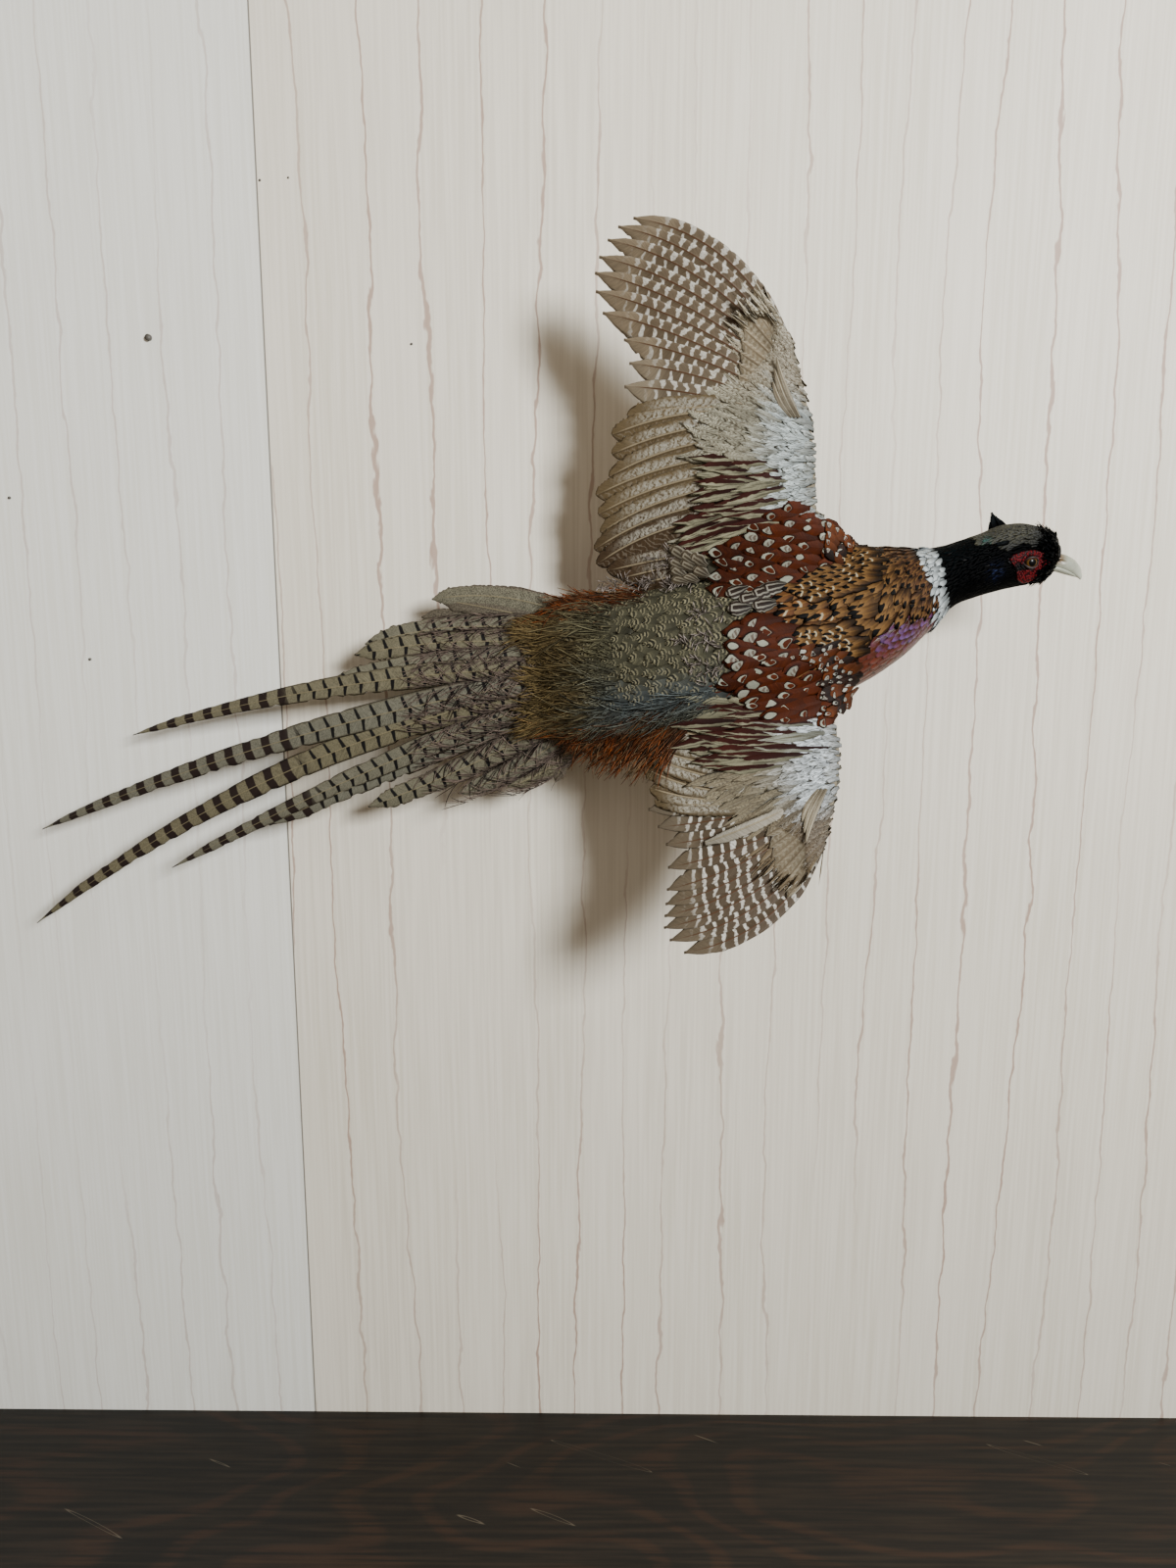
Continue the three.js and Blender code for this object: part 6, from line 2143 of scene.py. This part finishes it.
wattle_paint = wattle_look()
for name, side in SIDES.items():
    dice = np.random.default_rng(83)
    middle, forward, back, outward = eye_axes(side)
    turns, rings_in = 300, 46
    outline = np.concatenate([WATTLE_LINE, WATTLE_LINE[:1]])
    gone = np.concatenate([[0], np.cumsum(np.hypot(*np.diff(outline, axis=0).T))])
    at = np.linspace(0, gone[-1], turns, endpoint=False)
    edge = np.stack([np.interp(at, gone, outline[:, k]) for k in (0, 1)], -1)
    for _ in range(8):
        edge = (np.roll(edge, 1, 0) + np.roll(edge, -1, 0) + 2 * edge) / 4
    inner = edge / np.hypot(*edge.T)[:, None] * (0.0050, 0.0038)
    steps = np.linspace(0, 1, rings_in)
    flat = edge[None] + (inner - edge)[None] * steps[:, None, None]
    pimples = dice.uniform(-0.021, 0.021, (1500, 2))
    chosen = []
    for spot in pimples:
        if all((spot[0] - c[0]) ** 2 + (spot[1] - c[1]) ** 2 > 0.00115 ** 2 for c in chosen):
            chosen.append(spot)
    chosen = np.array(chosen)
    gap = np.min(np.hypot(flat[..., None, 0] - chosen[:, 0], flat[..., None, 1] - chosen[:, 1]), -1)
    dome = np.sqrt(np.maximum(0, 1 - (gap / 0.00078) ** 2))
    border = ease(0, 0.10, steps)[:, None] * (1 - 0.55 * ease(0.8, 1.0, steps)[:, None])
    lobe = ease(-0.006, -0.015, flat[..., 1]) * 0.0010
    height = -0.0009 + border * (0.0021 + lobe + 0.00045 * dome)
    top, under = np.empty((*flat.shape[:2], 3)), np.empty((*flat.shape[:2], 3))
    for i in range(len(steps)):
        for j in range(turns):
            start = middle + forward * flat[i, j, 0] + back * flat[i, j, 1] + outward * 0.02
            hit, normal, _, _ = skin_tree.ray_cast(Vector(start), Vector(-outward))
            if hit is None or (hit - Vector(start)).length > 0.030:
                hit, normal, _, _ = skin_tree.find_nearest(Vector(start - outward * 0.02))
            hit, normal = np.array(hit), np.array(normal)
            lean = unit(normal * 0.6 + outward * 0.4)
            top[i, j], under[i, j] = hit + lean * height[i, j], hit - lean * 0.0016
    rings = np.concatenate([top, under[::-1]])
    piece = new_mesh("wattle_skin_" + name, rings.reshape(-1, 3), [ring_faces(len(rings), turns)])
    streak = np.exp(-((flat[..., 0] + 0.0080) / 0.0046) ** 2
                    - ((flat[..., 1] + 0.0022 - 0.12 * flat[..., 0]) / 0.0024) ** 2)
    upper = dome * border + 0.15 - 2.2 * streak
    rise = np.concatenate([upper, np.zeros_like(upper)]).astype(np.float32)
    piece.data.attributes.new("rise", "FLOAT", "POINT").data.foreach_set("value", rise.ravel())
    fitted(turned_out(piece, merge=False), wattle_paint, "wattle_skin", "wattle_" + name)

# ---- Bill ------------------------------------------------------------------
# Pale greenish ivory horn, browner round the nostrils: a hooked upper half over a shorter lower half.
# Both sheathe the bone in front of the face, and the small feathers round them hide the seam.

UPPER_BILL = [
    (0.240, 0.0662, 0.0064, 0.0054), (0.248, 0.0654, 0.0064, 0.0060),
    (0.256, 0.0638, 0.0058, 0.0063), (0.262, 0.0610, 0.0048, 0.0057),
    (0.267, 0.0572, 0.0034, 0.0043), (0.2702, 0.0526, 0.0017, 0.0018),
    (0.2709, 0.0506, 0.0006, 0.0005),
]
LOWER_BILL = [
    (0.240, 0.0606, 0.0052, 0.0027), (0.244, 0.0604, 0.0052, 0.0027),
    (0.252, 0.0590, 0.0046, 0.0027), (0.259, 0.0566, 0.0036, 0.0024),
    (0.2645, 0.0543, 0.0022, 0.0014), (0.2676, 0.0528, 0.0008, 0.0006),
]
BILL_Y = -0.119


def object_place(tree):
    return Wire(tree.nodes.new("ShaderNodeTexCoord").outputs["Object"])


def horn_look():
    material, tree, surface = new_look("bill_horn", 0.38)
    place = object_place(tree)
    x, _, z = place.split()
    cloud = noise(place, 320, 4.0)
    colour = blend(cloud, tint(132, 136, 120), tint(178, 179, 162))
    nostrils = x.step(0.2590, 0.2520) * z.step(0.0600, 0.0650) * cloud.step(0.1, 0.5)
    colour = coats(colour, (nostrils, tint(104, 84, 58)), (x.step(0.262, 0.271) * 0.5, tint(206, 206, 190)))
    plug(surface.inputs["Base Color"], colour)
    embossed(surface, cloud, 0.25, 0.0003)
    return material


def bill_half(name, rows, upper):
    table = np.array(rows)
    stations, around = 70, 56
    at = np.linspace(0, len(rows) - 1, stations)
    line = np.stack([np.interp(at, np.arange(len(rows)), table[:, k]) for k in range(4)], -1)
    for _ in range(14):
        line[1:-1] = (line[:-2] + 2 * line[1:-1] + line[2:]) / 4
    along = np.gradient(line[:, :2], axis=0)
    along /= np.hypot(*along.T)[:, None]
    turn = np.linspace(0, 2 * math.pi, around, endpoint=False)
    wide, high = np.cos(turn), np.sin(turn)
    ridge = np.where(high > 0, np.abs(high) ** 0.85, -np.abs(high) ** (0.75 if upper else 1.0))
    points = np.empty((stations, around, 3))
    for i in range(stations):
        x, z, half, tall = line[i]
        ax, az = along[i]
        offset = ridge * tall
        if upper:
            # The nostril lies in a groove under a swollen flap on each side.
            groove = 0.0011 * np.exp(-((x - 0.2525) / 0.0030) ** 2 - ((offset - 0.0004) / 0.0011) ** 2)
            swell = 0.0007 * np.exp(-((x - 0.2520) / 0.0036) ** 2 - ((offset - 0.0023) / 0.0011) ** 2)
            side = np.sign(wide) * (swell - groove) * (np.abs(wide) > 0.2)
        else:
            side = 0
        points[i] = np.stack([x - az * offset, BILL_Y + wide * half + side, z + ax * offset], -1)
    piece = turned_out(new_mesh(name, points.reshape(-1, 3), tube_faces(stations, around)))
    fitted(piece, horn, "bill_horn", name.replace("horn", "bill"))


horn = horn_look()
bill_half("horn_upper", UPPER_BILL, True)
bill_half("horn_lower", LOWER_BILL, False)

# ---- Legs and feet ---------------------------------------------------------
# The folded legs lie against the wall side under the tail: grey-brown, with a short spur and dark claws. A
# real leg bears overlapping plates in front and small scales behind; here both are painted as one pattern of
# small scales.


def leg_look():
    material, tree, surface = new_look("leg_scale", 0.5)
    place = object_place(tree)
    edge = fed("ShaderNodeTexVoronoi", (place, 620), ("Vector", "Scale"), "Distance",
               feature="DISTANCE_TO_EDGE")
    edge = edge.step(0.0, 0.12)
    colour = blend(noise(place, 180), tint(112, 102, 86), tint(142, 132, 112))
    plug(surface.inputs["Base Color"], blend(edge, tint(74, 64, 52), colour))
    embossed(surface, edge, 0.5, 0.0003)
    return material


leg_paint, claw_paint = leg_look(), plain_look("claw", tint(52, 44, 38), 0.4)
TOES = ((0, 0.044, 0.006), (0.013, 0.035, 0.004), (-0.013, 0.035, 0.004))


for name, side in SIDES.items():
    ankle, foot = LEG["ankle"], LEG["foot"]
    z = lambda share, side=side: leg_line(side, share)
    parts = [
        limb("shank", [(ankle + 0.002, -0.034, z(0.7), 0.0040), (ankle - 0.008, -0.033, z(0.75), 0.0040),
                       ((ankle + foot) / 2, -0.030, z(0.85), 0.0031), (foot, -0.027, z(0.95), 0.0040)],
             20, 10),
        limb("spur", [(ankle + (foot - ankle) * 0.62, -0.031, z(0.88), 0.0028),
                      (ankle + (foot - ankle) * 0.66, -0.0348, z(0.88), 0.0017),
                      (ankle + (foot - ankle) * 0.70, -0.0379, z(0.88), 0.0005)], 14, 6),
        limb("hind", [(foot + 0.002, -0.027, z(0.95), 0.0025), (foot - 0.004, -0.020, z(0.95), 0.0019),
                      (foot - 0.010, -0.0162, z(0.95), 0.0007)], 14, 6),
    ]
    for turn, length, rise in TOES:
        parts.append(limb("toe", [
            (foot + 0.003, -0.027, z(0.95), 0.0034),
            (foot - length * 0.22, -0.027 + rise * 0.6, z(0.95) + turn * 0.22, 0.0030),
            (foot - length * 0.40, -0.027 + rise, z(0.95) + turn * 0.4, 0.0027),
            (foot - length * 0.60, -0.0262 + rise, z(0.95) + turn * 0.6, 0.0026),
            (foot - length * 0.78, -0.0252 + rise, z(0.95) + turn * 0.78, 0.0020)], 14, 6))
    claws = [
        limb("claw", [(foot - length * 0.76, -0.0255 + rise, z(0.95) + turn * 0.76, 0.0017),
                      (foot - length * 0.88, -0.0238 + rise, z(0.95) + turn * 0.88, 0.0013),
                      (foot - length * 0.985, -0.0212 + rise, z(0.95) + turn * 0.985, 0.0004)], 12, 6)
        for turn, length, rise in TOES
    ]
    for group, label, paint in ((parts, "foot_skin_", leg_paint), (claws, "claws_", claw_paint)):
        points, faces, offset = [], [], 0
        for part in group:
            mesh = part.data
            points += [tuple(v.co) for v in mesh.vertices]
            faces += [tuple(offset + k for k in p.vertices) for p in mesh.polygons]
            offset += len(mesh.vertices)
            bpy.data.objects.remove(part)
        mesh = bpy.data.meshes.new(label + name)
        mesh.from_pydata(points, [], faces)
        piece = bpy.data.objects.new(label + name, mesh)
        bpy.context.scene.collection.objects.link(piece)
        turned_out(piece)
        mesh.polygons.foreach_set("use_smooth", [True] * len(mesh.polygons))
        fitted(piece, paint, "leg_scale", *(["foot_" + name] if group is parts else []))

# ---- Hanger ----------------------------------------------------------------
# A small rounded plate of zinc-plated steel lies flat on the wall. It carries a rod of the same steel
# that runs into the body from behind.

for node in ("wall_plate", "wall_rod"):
    material, tree, surface = new_look("steel_" + node, 0.3)
    dull = noise(object_place(tree), 90, 4.0)
    plug(surface.inputs["Base Color"], blend(dull, tint(128, 128, 126), tint(158, 158, 154)))
    plug(surface.inputs["Roughness"], dull * 0.25 + 0.3)
    surface.inputs["Metallic"].default_value = 1.0
    frame["nodes"][node].material_slots[0].material = material

# ---- Wall and light --------------------------------------------------------
# The bird hangs on a pale veneered wall over a dark oak bench. Soft daylight comes from the right, in
# front and a little above, and a faint warm light fills the room.


def wall_look():
    material, tree, surface = new_look("veneer", 0.55)
    x, _, z = object_place(tree).split()
    seam = abs(x + 0.399).step(0.0010, 0.0004)
    panel = x.step(-0.398, -0.400)
    # Thin brown lines follow the growth rings through the peeled veneer, and differ from sheet to sheet.
    wide = noise((x * 7 + panel * 31, panel * 4.0, z * 0.9), 1.0, 2.0) * 0.09 + x * 1.05
    jag = noise((x * 60, panel, z * 22), 1.0, 3.0)
    rings = ((wide + (jag - 0.5) * 0.014) * 132).sine()
    faint = noise((x * 5, 3.0 + panel, z * 1.5), 1.0, 2.0).step(0.30, 0.62)
    streak = noise((x * 300, panel, z * 6), 1.0, 3.0)
    cloud = noise((x * 16, 8.0 + panel, z * 1.1), 1.0, 3.0)
    colour = blend(streak.step(0.3, 0.7), tint(230, 221, 202), tint(246, 238, 221))
    colour = coats(
        colour,
        (cloud.step(0.35, 0.75) * 0.45, tint(250, 242, 226)),
        (panel, blend(streak.step(0.3, 0.7), tint(240, 238, 227), tint(250, 249, 241))),
        (rings.step(0.985, 0.999) * faint * (0.75 - panel * 0.35), tint(166, 128, 110)),
        (seam * 0.85, tint(92, 84, 74)),
    )
    # Painted light: the wall is painted brighter towards the top and a little brighter far to the left, as
    # the daylight falls.
    level = z.step(-1.0, 0.7) * 0.16 + x.step(-0.35, -0.75) * 0.05 + 0.87
    plug(surface.inputs["Base Color"], dimmed(colour, level))
    output = tree.nodes["Material Output"]
    clear = tree.nodes.new("ShaderNodeBsdfTransparent")
    facing = tree.nodes.new("ShaderNodeNewGeometry")
    choose = tree.nodes.new("ShaderNodeMixShader")
    tree.links.new(facing.outputs["Backfacing"], choose.inputs[0])
    tree.links.new(surface.outputs[0], choose.inputs[1])
    tree.links.new(clear.outputs[0], choose.inputs[2])
    tree.links.new(choose.outputs[0], output.inputs["Surface"])
    return material


wall = new_mesh("wall", [(-6, 0, -3), (6, 0, -3), (6, 0, 4), (-6, 0, 4)], [[(0, 1, 2, 3)]])
wall.data.materials.append(wall_look())


def bench_look():
    """Old oak, oiled nearly black, with rusty arcs of grain."""
    material, tree, surface = new_look("bench", 0.55, 0.2)
    x, y, _ = object_place(tree).split()
    wide = noise((x * 1.5, y * 4, 0), 1.0, 2.0)
    arcs = ((wide + x * 0.35) * 95).sine()
    streak = noise((x * 9, y * 190, 0), 1.0, 4.0)
    colour = blend(streak.step(0.35, 0.7), tint(20, 17, 15), tint(46, 37, 29))
    colour = blend(arcs.step(0.2, 1.0) * streak.step(0.3, 0.6) * 0.45, colour, tint(70, 46, 32))
    scratch = noise((x * 28 + y * 60, y * 12, 5.0), 1.0, 1.0)
    colour = blend(abs(scratch - 0.72).step(0.006, 0.0) * 0.6, colour, tint(132, 122, 106))
    plug(surface.inputs["Base Color"], colour)
    return material


low, high = -0.060, 0.0
corners = [(x, y, z - 0.794 - 0.009 * x) for x in (-6, 6) for y in (-0.50, 0.0) for z in (low, high)]
sides = [(0, 4, 5, 1), (4, 6, 7, 5), (6, 2, 3, 7), (2, 0, 1, 3), (1, 5, 7, 3), (0, 2, 6, 4)]
bench = new_mesh("bench", corners, [sides])
bench.data.materials.append(bench_look())

# Small nails stand in the wall where other things hung.
NAILS = [
    (-0.519, 0.548, 1.2), (-0.370, 0.534, 1.5), (-0.203, 0.526, 0.8), (-0.611, 0.490, 1.2),
    (-0.396, 0.380, 0.9), (-0.372, 0.382, 0.8), (-0.498, 0.254, 2.8), (-0.272, 0.249, 1.0),
    (-0.630, 0.120, 1.2), (-0.570, -0.022, 1.2),
]
points, quads, caps = [], [], []
sides = 12
turn = np.linspace(0, 2 * math.pi, sides, endpoint=False)
for k, (x, z, size) in enumerate(NAILS):
    for y in (-0.0001, -0.0012 * size):
        points += [(x + size * 0.001 * math.cos(t), y, z + size * 0.001 * math.sin(t)) for t in turn]
    foot = k * 2 * sides
    head = foot + sides
    quads += [(foot + i, foot + (i + 1) % sides, head + (i + 1) % sides, head + i) for i in range(sides)]
    caps += [tuple(range(head, head + sides)), tuple(range(head - 1, foot - 1, -1))]
nails = turned_out(new_mesh("nails", points, [quads, caps]))
nails.data.materials.append(plain_look("nail_steel", tint(96, 92, 86), 0.45))


def soft_light(name, place, aim, across, power, colour):
    data = bpy.data.lights.new(name, "AREA")
    data.shape = "RECTANGLE"
    data.size, data.size_y = across
    data.energy = power
    data.color = colour
    lamp = bpy.data.objects.new(name, data)
    lamp.location = place
    lamp.rotation_euler = (Vector(aim) - Vector(place)).to_track_quat("-Z", "Y").to_euler()
    bpy.context.scene.collection.objects.link(lamp)


soft_light("window", (1.20, -2.45, 0.80), (-0.1, 0, 0.1), (0.6, 0.6), 123, (0.96, 0.985, 0.99))
soft_light("room", (-1.6, -3.0, 1.4), (0, 0, 0), (2.5, 2.5), 12, (1.0, 0.93, 0.85))
world = bpy.data.worlds.new("room light")
world.use_nodes = True
world.node_tree.nodes["Background"].inputs[0].default_value = (1.0, 0.82, 0.62, 1)
world.node_tree.nodes["Background"].inputs[1].default_value = 0.20
bpy.context.scene.world = world
